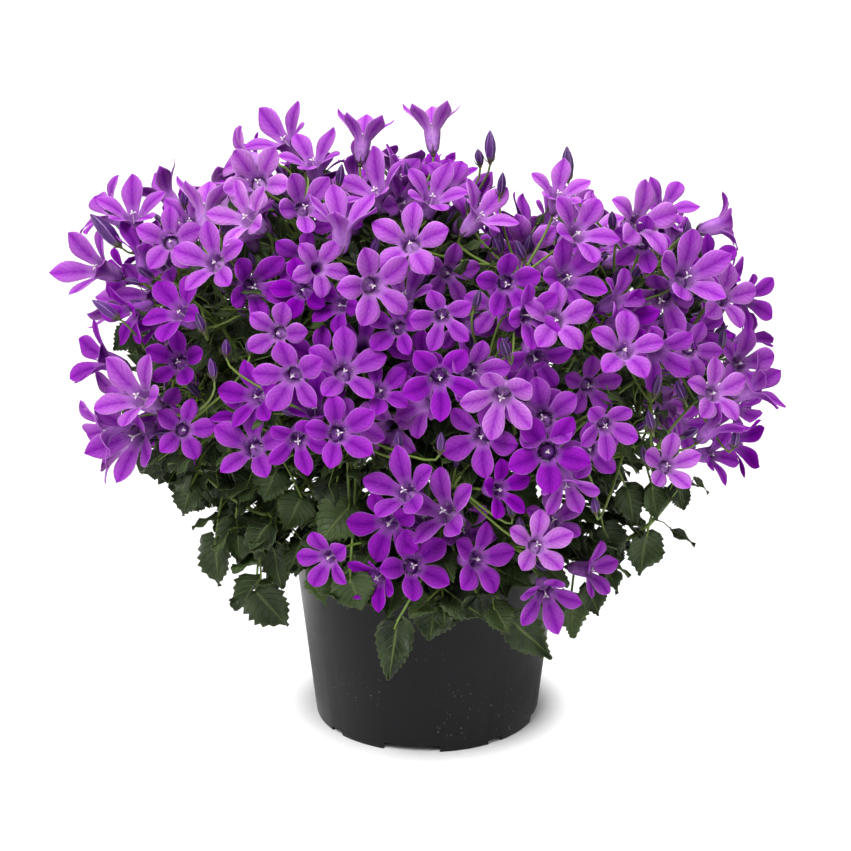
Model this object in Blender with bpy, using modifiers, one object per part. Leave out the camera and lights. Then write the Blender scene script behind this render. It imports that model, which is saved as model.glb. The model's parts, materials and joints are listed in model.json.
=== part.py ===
# Potted campanula: a bellflower in a plain round nursery pot.
# Metres, +Z up. The origin is the middle of the pot's flat underside.
import math
import random

import bmesh
import bpy
from mathutils import Matrix, Vector
from mathutils.bvhtree import BVHTree

MM = 0.001

# Pot, a 13 cm low nursery pot
RIM_RADIUS = 65.0 * MM
POT_HEIGHT = 88.0 * MM
LIP_HEIGHT = 3.6 * MM
LIP_STEP = 1.4 * MM
BASE_RADIUS = 54.0 * MM
POT_WALL = 1.3 * MM
POT_SIDES = 28
CHANNEL_HEIGHT = 4.0 * MM
CHANNEL_WIDTH = 7.5 * MM
SLOT_TURN = math.radians(-98.0)
WIDE_SLOT = 27.0 * MM
NARROW_SLOT = 8.0 * MM
DRAIN_RADIUS = 2.2 * MM

# Soil
SOIL_TOP = 80.0 * MM
GAP = 0.3 * MM

# Stems and stalks
STEM_RADIUS = 1.7 * MM
FORK_RADIUS = 1.15 * MM
STALK_RADIUS = 1.1 * MM
STEM_SINK = 12.0 * MM
STEM_COUNT = 12
HEAD_COUNT = 36
HEART = Vector((0.0, 0.0, 108.0 * MM))
STALK_LENGTH = 24.0 * MM

# Blooms
BLOOM_RADIUS = 18.5 * MM
TUBE_LENGTH = 15.0 * MM
REAR_BLOOM_RADIUS = 17.0 * MM
PETAL_SPREAD = math.radians(26.0)
FACING_SWAY = 0.28
OUTWARD_LEAN = 0.3
UPWARD_LEAN = 0.28
CLEARANCE = 0.35 * MM

# The view that the plant's blooms and leaves were laid out in, in pixels of a square picture
PICTURE_MIDDLE = 425.5
METRES_PER_PIXEL = 0.476 * MM
VIEW_DISTANCE = 1.5
VIEW_TILT = math.radians(20.0)
VIEW_POINT = Vector((-0.7 * MM, 0.0, 146.0 * MM))
RIGHT = Vector((1.0, 0.0, 0.0))
UP = Vector((0.0, math.sin(VIEW_TILT), math.cos(VIEW_TILT)))
TOWARD = Vector((0.0, -math.cos(VIEW_TILT), math.sin(VIEW_TILT)))

# The canopy's dome
CANOPY_MIDDLE_ROW = 388.0
CANOPY_HALF_WIDTH = 356.0
CANOPY_RISE = 294.0
CANOPY_DROP = 235.0
CANOPY_DEPTH = 126.0 * MM
CANOPY_EDGE_DEPTH = 6.0 * MM
CANOPY_POWER = 2.6
REAR_CENTRE = Vector((0.0, 0.0, 168.0 * MM))
REAR_RADII = Vector((156.0 * MM, 106.0 * MM, 112.0 * MM))
REAR_LOWEST = 116.0 * MM
REAR_SPACING = 38.2 * MM
REAR_MARGIN = 24.0

# The plant's top line in the view, which its back stays under: (column, row)
SKYLINE = [
    (60, 300), (80, 230), (120, 195), (200, 195), (240, 150), (300, 125), (380, 150), (430, 150),
    (470, 178), (520, 215), (560, 190), (620, 212), (680, 203), (740, 230), (770, 320), (800, 420),
]

# Layers of the canopy: how far behind its surface a bloom sits
LAYERS = {"front": 0.0, "dark": -12.0 * MM, "deep": -24.0 * MM}

# Blooms seen from the front: (throat column, row, reach in pixels, turned right, turned up,
# angle of one petal in degrees, layer)
FRONT_BLOOMS = [
    (133, 216, 36, 0.0, 0.55, 97, "front"),
    (108, 212, 36, -0.85, 0.2, 90, "front"),
    (150, 178, 30, -0.45, 0.8, 90, "front"),
    (98, 268, 38, -0.6, -0.1, 115, "front"),
    (170, 241, 34, 0.0, 0.3, 90, "front"),
    (143, 252, 28, 0.1, 0.2, 60, "dark"),
    (162, 262, 30, 0.2, 0.3, 20, "dark"),
    (205, 208, 34, 0.0, 0.85, 90, "front"),
    (214, 262, 39, 0.0, 0.0, 95, "front"),
    (250, 285, 38, 0.05, -0.1, 58, "front"),
    (177, 311, 38, -0.4, 0.0, 120, "front"),
    (127, 312, 34, -0.8, -0.3, 100, "front"),
    (145, 290, 30, 0.0, 0.1, 50, "deep"),
    (120, 275, 26, -0.3, 0.3, 80, "deep"),
    (247, 218, 38, -0.05, 0.1, 100, "front"),
    (258, 182, 36, 0.2, -0.1, 130, "front"),
    (243, 160, 38, -0.5, 0.2, 95, "front"),
    (283, 137, 38, 0.0, 0.25, 133, "front"),
    (304, 207, 34, 0.0, 0.2, 125, "front"),
    (305, 258, 28, 0.1, 0.1, 75, "deep"),
    (190, 222, 28, 0.1, 0.4, 70, "dark"),
    (312, 160, 34, 0.3, 0.45, 35, "front"),
    (363, 138, 30, 0.0, 0.9, 90, "front"),
    (376, 190, 40, -0.1, 0.3, 82, "front"),
    (398, 175, 34, 0.4, 0.7, 60, "front"),
    (432, 128, 30, 0.05, 0.97, 90, "front"),
    (432, 196, 34, 0.0, 0.35, 62, "front"),
    (404, 202, 22, 0.0, 0.1, 60, "deep"),
    (410, 243, 40, 0.15, 0.0, 85, "front"),
    (480, 215, 36, 0.5, 0.3, 55, "front"),
    (343, 225, 38, 0.2, 0.35, 120, "front"),
    (373, 286, 41, 0.0, 0.0, 108, "front"),
    (442, 317, 33, 0.0, 0.0, 107, "front"),
    (448, 272, 28, 0.2, -0.2, 80, "deep"),
    (405, 295, 28, 0.0, 0.1, 40, "deep"),
    (303, 290, 30, 0.0, 0.0, 30, "deep"),
    (340, 305, 26, -0.1, 0.0, 60, "deep"),
    (397, 327, 27, 0.0, 0.0, 85, "dark"),
    (507, 283, 34, 0.0, 0.1, 95, "front"),
    (578, 233, 40, 0.0, 0.3, 135, "front"),
    (558, 195, 30, 0.0, 0.8, 90, "front"),
    (568, 277, 38, 0.0, 0.05, 118, "front"),
    (640, 222, 40, 0.6, 0.4, 90, "front"),
    (665, 207, 28, 0.4, 0.3, 60, "dark"),
    (640, 245, 26, 0.1, -0.1, 80, "deep"),
    (722, 225, 32, 0.95, 0.15, 90, "front"),
    (686, 277, 42, 0.1, 0.1, 95, "front"),
    (665, 297, 40, 0.4, -0.3, 94, "dark"),
    (723, 298, 34, 0.3, 0.0, 80, "front"),
    (747, 300, 32, 0.7, 0.0, 60, "front"),
    (712, 265, 30, 0.5, 0.2, 40, "dark"),
    (556, 320, 38, 0.1, 0.0, 90, "front"),
    (528, 315, 34, 0.7, 0.4, 60, "front"),
    (497, 305, 24, 0.0, -0.1, 90, "dark"),
    (625, 350, 38, 0.0, -0.1, 155, "front"),
    (624, 322, 32, 0.0, 0.1, 90, "deep"),
    (690, 350, 24, 0.1, 0.0, 70, "deep"),
    (700, 333, 26, 0.2, 0.1, 50, "deep"),
    (745, 362, 36, 0.4, 0.0, 85, "front"),
    (758, 388, 34, 0.8, -0.1, 70, "front"),
    (714, 393, 34, 0.1, 0.0, 95, "front"),
    (292, 376, 38, 0.0, 0.2, 97, "front"),
    (344, 370, 42, 0.0, 0.3, 92, "front"),
    (313, 410, 34, 0.0, 0.1, 80, "front"),
    (338, 433, 38, 0.0, -0.05, 106, "front"),
    (380, 390, 32, 0.0, 0.0, 112, "front"),
    (297, 440, 34, 0.0, -0.1, 140, "front"),
    (250, 447, 40, 0.0, -0.05, 85, "front"),
    (240, 413, 30, 0.0, -0.2, 60, "dark"),
    (253, 396, 36, -0.1, 0.2, 90, "front"),
    (278, 333, 30, 0.0, 0.0, 70, "dark"),
    (352, 424, 30, 0.2, 0.0, 50, "dark"),
    (318, 360, 34, 0.0, 0.3, 80, "dark"),
    (139, 397, 42, 0.0, 0.0, 128, "front"),
    (132, 436, 42, -0.4, 0.0, 118, "front"),
    (180, 430, 32, 0.1, 0.0, 75, "front"),
    (176, 361, 28, 0.0, -0.5, 90, "dark"),
    (105, 430, 38, -0.8, -0.2, 80, "front"),
    (160, 410, 28, 0.0, 0.1, 60, "deep"),
    (440, 378, 40, -0.2, 0.1, 128, "front"),
    (473, 371, 34, 0.0, 0.0, 85, "front"),
    (502, 396, 40, 0.1, 0.0, 108, "front"),
    (482, 437, 40, 0.0, 0.0, 135, "front"),
    (537, 358, 38, 0.0, -0.2, 90, "front"),
    (527, 395, 40, 0.2, 0.1, 60, "dark"),
    (549, 452, 42, 0.0, -0.05, 56, "front"),
    (545, 418, 40, 0.1, 0.2, 100, "front"),
    (567, 484, 32, 0.3, -0.4, 80, "front"),
    (605, 425, 28, 0.3, -0.1, 60, "front"),
    (590, 385, 28, 0.1, 0.0, 90, "deep"),
    (590, 450, 26, 0.1, -0.1, 30, "deep"),
    (510, 368, 28, 0.0, 0.2, 40, "deep"),
    (500, 490, 28, 0.2, -0.4, 90, "dark"),
    (445, 513, 44, 0.0, 0.35, 90, "front"),
    (405, 492, 40, 0.0, 0.15, 97, "front"),
    (388, 525, 40, -0.4, 0.1, 105, "dark"),
    (413, 567, 38, 0.0, 0.0, 115, "front"),
    (378, 578, 30, -0.4, -0.3, 80, "front"),
    (328, 558, 28, -0.4, -0.2, 100, "front"),
    (478, 560, 38, 0.5, 0.0, 80, "front"),
    (462, 532, 26, 0.2, 0.1, 60, "deep"),
    (424, 520, 26, -0.2, 0.7, 90, "deep"),
    (537, 545, 34, 0.0, 0.0, 87, "front"),
    (555, 522, 30, 0.2, 0.3, 100, "dark"),
    (592, 572, 30, 0.85, 0.1, 80, "front"),
    (545, 593, 34, 0.0, -0.2, 72, "front"),
    (668, 466, 28, 0.0, 0.35, 88, "front"),
    (717, 455, 32, 0.5, 0.25, 80, "front"),
    (715, 425, 24, 0.2, 0.4, 60, "dark"),
]

# Buds that stand out: (base column, row, tip column, row, layer)
BUDS = [
    (490, 162, 490, 130, "front"),
    (568, 180, 567, 146, "front"),
    (500, 195, 503, 172, "front"),
    (120, 246, 90, 214, "front"),
    (118, 318, 92, 300, "front"),
    (222, 235, 228, 214, "front"),
    (204, 332, 196, 312, "front"),
    (214, 378, 210, 358, "front"),
    (338, 186, 342, 164, "front"),
    (410, 182, 406, 162, "dark"),
    (468, 210, 472, 190, "front"),
    (372, 256, 378, 236, "front"),
    (500, 255, 494, 236, "front"),
    (524, 260, 516, 240, "front"),
    (474, 308, 480, 290, "front"),
    (508, 358, 502, 338, "front"),
    (512, 516, 508, 498, "front"),
    (655, 396, 659, 374, "front"),
    (684, 400, 676, 380, "front"),
    (652, 430, 648, 410, "front"),
    (648, 464, 642, 446, "front"),
    (720, 348, 724, 328, "front"),
    (733, 447, 737, 427, "front"),
    (184, 206, 184, 190, "front"),
    (230, 240, 232, 222, "front"),
    (250, 353, 250, 337, "front"),
    (226, 355, 226, 339, "front"),
    (480, 165, 478, 149, "front"),
    (612, 229, 612, 211, "front"),
    (687, 238, 688, 221, "front"),
    (398, 449, 398, 431, "front"),
    (440, 452, 441, 432, "front"),
    (596, 513, 594, 497, "front"),
    (521, 533, 519, 517, "front"),
]

# Leaves that hang below the canopy: (base column, row, tip column, row, width in pixels,
# depth towards the front in millimetres)
LOW_LEAVES = [
    (216, 538, 212, 588, 34, 6),
    (236, 518, 241, 563, 34, 14),
    (256, 590, 284, 631, 44, 4),
    (270, 540, 284, 588, 36, 22),
    (192, 484, 178, 516, 30, 10),
    (276, 470, 260, 502, 34, 34),
    (302, 498, 283, 530, 34, 38),
    (337, 482, 328, 516, 38, 58),
    (349, 506, 320, 541, 40, 62),
    (350, 577, 360, 613, 36, 62),
    (397, 622, 389, 681, 31, 66),
    (436, 600, 430, 641, 42, 70),
    (511, 618, 551, 661, 33, 54),
    (571, 598, 577, 640, 28, 22),
    (647, 534, 640, 576, 38, 2),
    (626, 488, 640, 526, 30, 12),
    (652, 486, 658, 521, 26, 8),
    (676, 484, 686, 510, 26, 2),
    (603, 528, 622, 560, 32, 18),
    (588, 584, 599, 616, 26, 26),
    (134, 330, 112, 350, 26, 24),
    (478, 596, 470, 620, 30, 68),
]

# Side shoots that trail out over the rim: (column, row, depth in millimetres) along each
SIDE_SHOOTS = [
    [(318, 500, 16), (272, 514, 12), (236, 500, 6), (206, 476, 2)],
    [(545, 535, 18), (592, 546, 12), (640, 532, 4), (670, 500, 0)],
]

rng = random.Random(20)


def start_clean():
    for ob in list(bpy.data.objects):
        bpy.data.objects.remove(ob, do_unlink=True)


def new_collection(name):
    col = bpy.data.collections.new(name)
    bpy.context.scene.collection.children.link(col)
    return col


def material(name, color, roughness):
    mat = bpy.data.materials.new(name)
    mat.use_nodes = True
    shader = mat.node_tree.nodes["Principled BSDF"]
    shader.inputs["Base Color"].default_value = (*color, 1.0)
    shader.inputs["Roughness"].default_value = roughness
    shader.inputs["Metallic"].default_value = 0.0
    mat.diffuse_color = (*color, 1.0)
    return mat


def from_view(column, row, depth):
    """The point seen at a pixel, this far in front of the plant's middle."""
    step = METRES_PER_PIXEL * (1.0 - depth / VIEW_DISTANCE)
    across = RIGHT * (column - PICTURE_MIDDLE) * step
    upward = UP * (PICTURE_MIDDLE - row) * step
    return VIEW_POINT + across + upward + TOWARD * depth


def canopy_depth(column, row):
    """How far in front of the plant's middle the canopy's surface is at a pixel."""
    across = abs(column - PICTURE_MIDDLE) / CANOPY_HALF_WIDTH
    height = CANOPY_MIDDLE_ROW - row
    along = abs(height) / (CANOPY_RISE if height > 0 else CANOPY_DROP)
    reach = across ** CANOPY_POWER + along ** CANOPY_POWER
    edge = reach ** (1.0 / CANOPY_POWER)
    return CANOPY_EDGE_DEPTH + CANOPY_DEPTH * math.sqrt(max(0.0, 1.0 - edge * edge))


def seen_at(point):
    """The pixel that a point is seen at."""
    way = point - VIEW_POINT
    step = METRES_PER_PIXEL * (1.0 - way.dot(TOWARD) / VIEW_DISTANCE)
    return PICTURE_MIDDLE + way.dot(RIGHT) / step, PICTURE_MIDDLE - way.dot(UP) / step


def skyline_row(column):
    """The row of the plant's top line at a column."""
    for (left, row), (right, next_row) in zip(SKYLINE, SKYLINE[1:]):
        if column <= right:
            share = max(0.0, (column - left) / (right - left))
            return row + (next_row - row) * share
    return SKYLINE[-1][1]


def facing_vector(right, up):
    toward = math.sqrt(max(0.02, 1.0 - right * right - up * up))
    return (RIGHT * right + UP * up + TOWARD * toward).normalized()


def petal_vector(facing, angle):
    """The direction across the bloom whose picture points at this angle."""
    flat = RIGHT * math.cos(angle) + UP * math.sin(angle)
    lean = -flat.dot(facing) / max(0.15, TOWARD.dot(facing))
    across = flat + TOWARD * lean
    return (across - facing * across.dot(facing)).normalized()


def flatten(vector, normal):
    return (vector - normal * vector.dot(normal)).normalized()


class Piece:
    """A closed mesh that belongs to one node, with a tree for clearance tests."""

    def __init__(self, node, points, faces, finish):
        self.node = node
        self.points = points
        self.faces = faces
        self.finish = finish
        self.tree = BVHTree.FromPolygons(points, faces, epsilon=0.0)
        self.middle = sum(points, Vector()) / len(points)
        self.reach = max((p - self.middle).length for p in points)

    def swollen(self, by):
        """The same faces with every corner moved out, for a test with some air round it."""
        normals = [Vector() for _ in self.points]
        for face in self.faces:
            a, b, c = (self.points[i] for i in face[:3])
            normal = (b - a).cross(c - a)
            if normal.length > 0.0:
                normal.normalize()
            for i in face:
                normals[i] = normals[i] + normal
        moved = []
        for point, normal in zip(self.points, normals):
            if normal.length > 1e-9:
                point = point + normal.normalized() * by
            moved.append(point)
        return BVHTree.FromPolygons(moved, self.faces, epsilon=0.0)


    def runs_through_itself(self):
        """Whether two faces that share no corner meet."""
        for i, j in self.tree.overlap(self.tree):
            if i < j and not set(self.faces[i]) & set(self.faces[j]):
                return True
        return False


placed = []


def clashes(piece):
    """How many pieces of other nodes come closer to this one than the clearance."""
    tree = piece.swollen(CLEARANCE)
    count = 0
    for other in placed:
        if other.node == piece.node:
            continue
        if (other.middle - piece.middle).length > other.reach + piece.reach + CLEARANCE:
            continue
        if tree.overlap(other.tree):
            count += 1
    return count


def crowding(piece):
    """How many pieces of the same node this one runs through."""
    count = 0
    for other in placed:
        if other.node != piece.node:
            continue
        if (other.middle - piece.middle).length > other.reach + piece.reach:
            continue
        if piece.tree.overlap(other.tree):
            count += 1
    return count


def three_sided_section():
    """A small triangle that slim stems are drawn with."""
    curve = bpy.data.curves.new("section", "CURVE")
    spline = curve.splines.new("POLY")
    spline.points.add(2)
    for i, entry in enumerate(spline.points):
        turn = -math.tau * i / 3
        entry.co = (math.cos(turn), math.sin(turn), 0.0, 1.0)
    spline.use_cyclic_u = True
    ob = bpy.data.objects.new("section", curve)
    bpy.context.scene.collection.objects.link(ob)
    return ob


def tube(node, points, radii, sides, finish):
    """A tapered stem along a line of points, as the mesh of a bevelled curve."""
    curve = bpy.data.curves.new("stem_line", "CURVE")
    curve.dimensions = "3D"
    section = None
    if sides == 3:
        section = three_sided_section()
        curve.bevel_mode = "OBJECT"
        curve.bevel_object = section
    else:
        curve.bevel_depth = 1.0
        curve.bevel_resolution = sides // 2 - 2
    curve.use_fill_caps = True
    spline = curve.splines.new("POLY")
    spline.points.add(len(points) - 1)
    for entry, point, radius in zip(spline.points, points, radii):
        entry.co = (*point, 1.0)
        entry.radius = radius
    ob = bpy.data.objects.new("stem_line", curve)
    bpy.context.scene.collection.objects.link(ob)
    depsgraph = bpy.context.evaluated_depsgraph_get()
    mesh = bpy.data.meshes.new_from_object(ob.evaluated_get(depsgraph))
    bm = bmesh.new()
    bm.from_mesh(mesh)
    bmesh.ops.remove_doubles(bm, verts=bm.verts, dist=1e-6)
    bmesh.ops.recalc_face_normals(bm, faces=bm.faces)
    bmesh.ops.triangulate(bm, faces=bm.faces)
    corners = [v.co.copy() for v in bm.verts]
    faces = [[v.index for v in f.verts] for f in bm.faces]
    bm.free()
    bpy.data.objects.remove(ob, do_unlink=True)
    bpy.data.meshes.remove(mesh)
    if section:
        bpy.data.objects.remove(section, do_unlink=True)
    return Piece(node, corners, faces, finish)


def ring_points(centre, along, across, radius, sides):
    side = along.cross(across)
    turns = [math.tau * i / sides for i in range(sides)]
    return [centre + (across * math.cos(a) + side * math.sin(a)) * radius for a in turns]


def bridge(lower, upper):
    """Triangles between two rings of corners that run the same way and differ in number."""
    faces = []
    i = j = 0
    m = len(lower)
    n = len(upper)
    while i < m or j < n:
        if j == n or (i < m and (i + 0.5) / m < (j + 0.5) / n):
            faces.append([lower[i % m], lower[(i + 1) % m], upper[j % n]])
            i += 1
        else:
            faces.append([lower[i % m], upper[(j + 1) % n], upper[j % n]])
            j += 1
    return faces


def stalk_rings(base, along, across, joint, radius):
    """Corners of a slim three-sided stalk from a bloom's base to its joint."""
    rings = [ring_points(base, along, across, radius, 3)]
    way = joint - base
    direction = way.normalized()
    if direction.dot(along) < 0.25:
        bend = base + (along + direction).normalized() * min(0.3 * way.length, 4.0 * MM)
        middle = (along + direction).normalized()
        rings.append(ring_points(bend, middle, flatten(across, middle), radius * 0.8, 3))
    rings.append(ring_points(joint, direction, flatten(across, direction), radius * 0.6, 3))
    return rings


def bloom(node, throat, facing, petal, radius, joint, plain):
    """Five pointed petals on a bell whose narrow end runs on as a stalk to its joint."""
    scale = radius / BLOOM_RADIUS
    side = facing.cross(petal)

    def at(angle, out, height):
        spoke = petal * math.cos(angle) + side * math.sin(angle)
        return throat + (spoke * out + facing * height) * scale * MM

    points = []

    def add(point):
        points.append(point)
        return len(points) - 1

    pit = add(at(0.0, 0.0, -1.0))
    notch_out = 7.0 if plain else 5.9
    notches = [add(at(math.radians(36 + 72 * i), notch_out, 0.0)) for i in range(5)]
    faces = []
    for i in range(5):
        turn = math.radians(72 * i)
        low = notches[i - 1]
        high = notches[i]
        tip = add(at(turn, 18.3, 5.2))
        ridge = add(at(turn, 11.2, 4.7))
        faces += [[pit, low, ridge], [pit, ridge, high]]
        if plain:
            faces += [[low, tip, ridge], [tip, high, ridge], [low, high, tip]]
            continue
        right = add(at(turn - PETAL_SPREAD, 12.2, 3.5))
        left = add(at(turn + PETAL_SPREAD, 12.2, 3.5))
        faces += [[low, right, ridge], [right, tip, ridge], [tip, left, ridge], [left, high, ridge]]
        faces += [[low, high, left], [low, left, right], [right, left, tip]]
    base = throat - facing * TUBE_LENGTH * scale
    start = petal * math.cos(math.radians(36)) + side * math.sin(math.radians(36))
    rings = stalk_rings(base, -facing, start, joint, 0.6 * MM)
    upper = notches
    for ring in rings:
        lower = [add(p) for p in ring[:1] + ring[:0:-1]]
        faces += bridge(upper, lower)
        upper = lower
    faces.append(list(reversed(upper)))
    return closed_piece(node, points, faces, "petal")


def closed_piece(node, points, faces, finish):
    """A piece whose faces all point outwards."""
    bm = bmesh.new()
    corners = [bm.verts.new(p) for p in points]
    for face in faces:
        bm.faces.new([corners[i] for i in face])
    bmesh.ops.recalc_face_normals(bm, faces=bm.faces)
    bm.verts.index_update()
    if bm.calc_volume(signed=True) < 0.0:
        bmesh.ops.reverse_faces(bm, faces=bm.faces)
    faces = [[v.index for v in f.verts] for f in bm.faces]
    bm.free()
    return Piece(node, points, faces, finish)


def bud(node, base, tip, width, joint):
    """A slim four-sided bud on a stalk."""
    along = (tip - base).normalized()
    across = flatten(Vector((0.3, 0.9, 0.2)), along)
    belly = ring_points(base.lerp(tip, 0.42), along, across, width / 2, 4)
    points = list(belly) + [tip]
    rings = stalk_rings(base, -along, across, joint, 0.55 * MM)
    faces = [[i, (i + 1) % 4, 4] for i in range(4)]
    upper = [0, 1, 2, 3]
    for ring in rings:
        ring = ring[:1] + ring[:0:-1]
        lower = list(range(len(points), len(points) + 3))
        points += ring
        faces += [list(reversed(f)) for f in bridge(upper, lower)]
        upper = lower
    faces.append(upper)
    return closed_piece(node, points, faces, "bud")


LEAF_TEETH = [(0.0, 0.07), (-0.07, 0.30), (0.18, 0.50), (0.36, 0.38), (0.56, 0.42), (0.74, 0.22)]


def leaf(node, base, tip, up, width, joint, bend=None):
    """A toothed, folded blade that runs on as a slim stalk to its joint."""
    length = (tip - base).length
    along = (tip - base).normalized()
    up = flatten(up, along)
    across = along.cross(up)

    def at(forward, sideways, height):
        droop = -0.10 * length * forward * forward
        raise_edge = 0.16 * abs(sideways) * width
        where = base + along * forward * length + across * sideways * width
        return where + up * (height + droop + raise_edge)

    stalk = 0.55 * MM
    outline = [base - across * stalk]
    outline += [at(f, -s, 0.0) for f, s in LEAF_TEETH[1:]]
    outline.append(at(1.0, 0.0, 0.0))
    outline += [at(f, s, 0.0) for f, s in reversed(LEAF_TEETH[1:])]
    outline.append(base + across * stalk)
    n = len(outline)
    points = outline + [base + up * stalk * 1.6, at(0.42, 0.0, 0.3 * MM), at(0.42, 0.0, -0.8 * MM)]
    crest, top, under = n, n + 1, n + 2
    faces = [[i, i + 1, top] for i in range(n - 1)]
    faces += [[n - 1, crest, top], [crest, 0, top]]
    faces += [[i + 1, i, under] for i in range(n)[:-1]]
    faces.append([0, n - 1, under])
    upper = [0, crest, n - 1]
    stops = [p for p in (bend, joint) if p is not None]
    last = base
    slim = stalk * 0.75
    for k, stop in enumerate(stops):
        direction = (stop - last).normalized()
        if k + 1 < len(stops):
            direction = (direction + (stops[k + 1] - stop).normalized()).normalized()
        level = flatten(up, direction)
        sideways = direction.cross(level)
        ring = [stop + sideways * slim, stop + level * slim * 1.6, stop - sideways * slim]
        lower = list(range(len(points), len(points) + 3))
        points += ring
        for i in range(3):
            j = (i + 1) % 3
            faces += [[upper[i], upper[j], lower[j]], [upper[i], lower[j], lower[i]]]
        upper = lower
        last = stop
    faces.append(upper)
    return closed_piece(node, points, faces, "leaf")


def front_blooms():
    """The blooms seen from the front, each with its throat, facing, petal and reach."""
    rows = []
    for column, row, reach, right, up, angle, layer in FRONT_BLOOMS:
        depth = canopy_depth(column, row) + LAYERS[layer]
        sway = FACING_SWAY if layer == "front" else 1.6 * FACING_SWAY
        across = OUTWARD_LEAN * (column - PICTURE_MIDDLE) / CANOPY_HALF_WIDTH + rng.uniform(-sway, sway)
        along = UPWARD_LEAN * (CANOPY_MIDDLE_ROW - row) / CANOPY_RISE + rng.uniform(-0.8 * sway, sway)
        facing = facing_vector(0.95 * right + across, 0.95 * up + along)
        size = max(reach, 30) * METRES_PER_PIXEL * (1.0 - depth / VIEW_DISTANCE)
        size = min(max(size, 14.0 * MM), 19.0 * MM)
        petal = petal_vector(facing, math.radians(angle))
        rows.append([from_view(column, row, depth), facing, petal, size, layer != "front"])
    return rows


def on_dome(direction):
    terms = [abs(direction[i] / REAR_RADII[i]) ** CANOPY_POWER for i in range(3)]
    return REAR_CENTRE + direction * sum(terms) ** (-1.0 / CANOPY_POWER)


def rear_blooms(front):
    """Blooms over the back of the dome, spaced round it where the front has none."""
    rows = []
    golden = math.pi * (3.0 - math.sqrt(5.0))
    draws = 210
    for i in range(draws):
        z = 1.0 - 2.0 * (i + 0.5) / draws
        flat = math.sqrt(1.0 - z * z)
        turn = golden * i + rng.uniform(-0.08, 0.08)
        direction = Vector((math.cos(turn) * flat, math.sin(turn) * flat, z))
        throat = on_dome(direction)
        if throat.z < REAR_LOWEST or throat.y < -0.02:
            continue
        others = [row[0] for row in front] + [row[0] for row in rows]
        if min((throat - p).length for p in others) < REAR_SPACING:
            continue
        outward = Vector((direction.x, direction.y, direction.z * 1.2 + 0.1)).normalized()
        sway = Vector([rng.uniform(-0.3, 0.3) for _ in range(3)])
        facing = (outward + sway).normalized()
        petal = flatten(Vector((rng.uniform(-1, 1), rng.uniform(-1, 1), rng.uniform(-1, 1))), facing)
        throat = throat - outward * rng.uniform(0.0, 8.0) * MM
        column, row = seen_at(throat)
        over = skyline_row(column) + REAR_MARGIN - row
        if over > 0.0:
            throat = throat - UP * over * METRES_PER_PIXEL
        rows.append([throat, facing, petal, REAR_BLOOM_RADIUS * rng.uniform(0.9, 1.08), True])
    return rows


def clusters(points, count, rounds=12):
    """The points shared out among this many centres, spread as far apart as they can be."""
    centres = [points[0]]
    while len(centres) < count:
        far = max(points, key=lambda p: min((p - c).length for c in centres))
        centres.append(far)
    for _ in range(rounds):
        groups = [[] for _ in centres]
        for i, point in enumerate(points):
            near = min(range(count), key=lambda k: (point - centres[k]).length)
            groups[near].append(i)
        centres = [
            sum((points[i] for i in group), Vector()) / len(group) if group else centre
            for group, centre in zip(groups, centres)
        ]
    return groups


class Head:
    """A group of blooms on one stalk, which stands on the fork of a leafy stem."""

    def __init__(self, number, members, rows):
        self.name = f"flower_head_{number:02d}"
        self.rows = [rows[i] for i in members]
        bases = [throat - facing * TUBE_LENGTH for throat, facing, petal, size, plain in self.rows]
        middle = sum(bases, Vector()) / len(bases)
        way = middle - HEART
        self.inward = -way.normalized()
        self.top = middle + self.inward * min(14.0 * MM, way.length * 0.3)
        self.foot = self.top + self.inward * STALK_LENGTH


def spread_apart(points, gap, limit):
    """Points in a plane moved until they stand this far apart, inside a circle."""
    points = [Vector((p.x, p.y)) for p in points]
    for _ in range(200):
        for i in range(len(points)):
            for j in range(i):
                way = points[i] - points[j]
                short = gap - way.length
                if short > 0.0:
                    push = way.normalized() if way.length > 1e-6 else Vector((1.0, 0.0))
                    points[i] = points[i] + push * short * 0.5
                    points[j] = points[j] - push * short * 0.5
        for i, point in enumerate(points):
            if point.length > limit:
                points[i] = point.normalized() * limit
    return points


def plan_stems(heads):
    """Which heads share a leafy stem, and where each stem leaves the soil."""
    aims = [(head.foot - HEART).normalized() for head in heads]
    groups = clusters(aims, STEM_COUNT)
    starts = []
    for group in groups:
        middle = sum((heads[i].foot for i in group), Vector()) / len(group)
        starts.append(Vector((middle.x, middle.y)) * 0.45)
    starts = spread_apart(starts, 13.0 * MM, 45.0 * MM)
    return groups, starts


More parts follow.
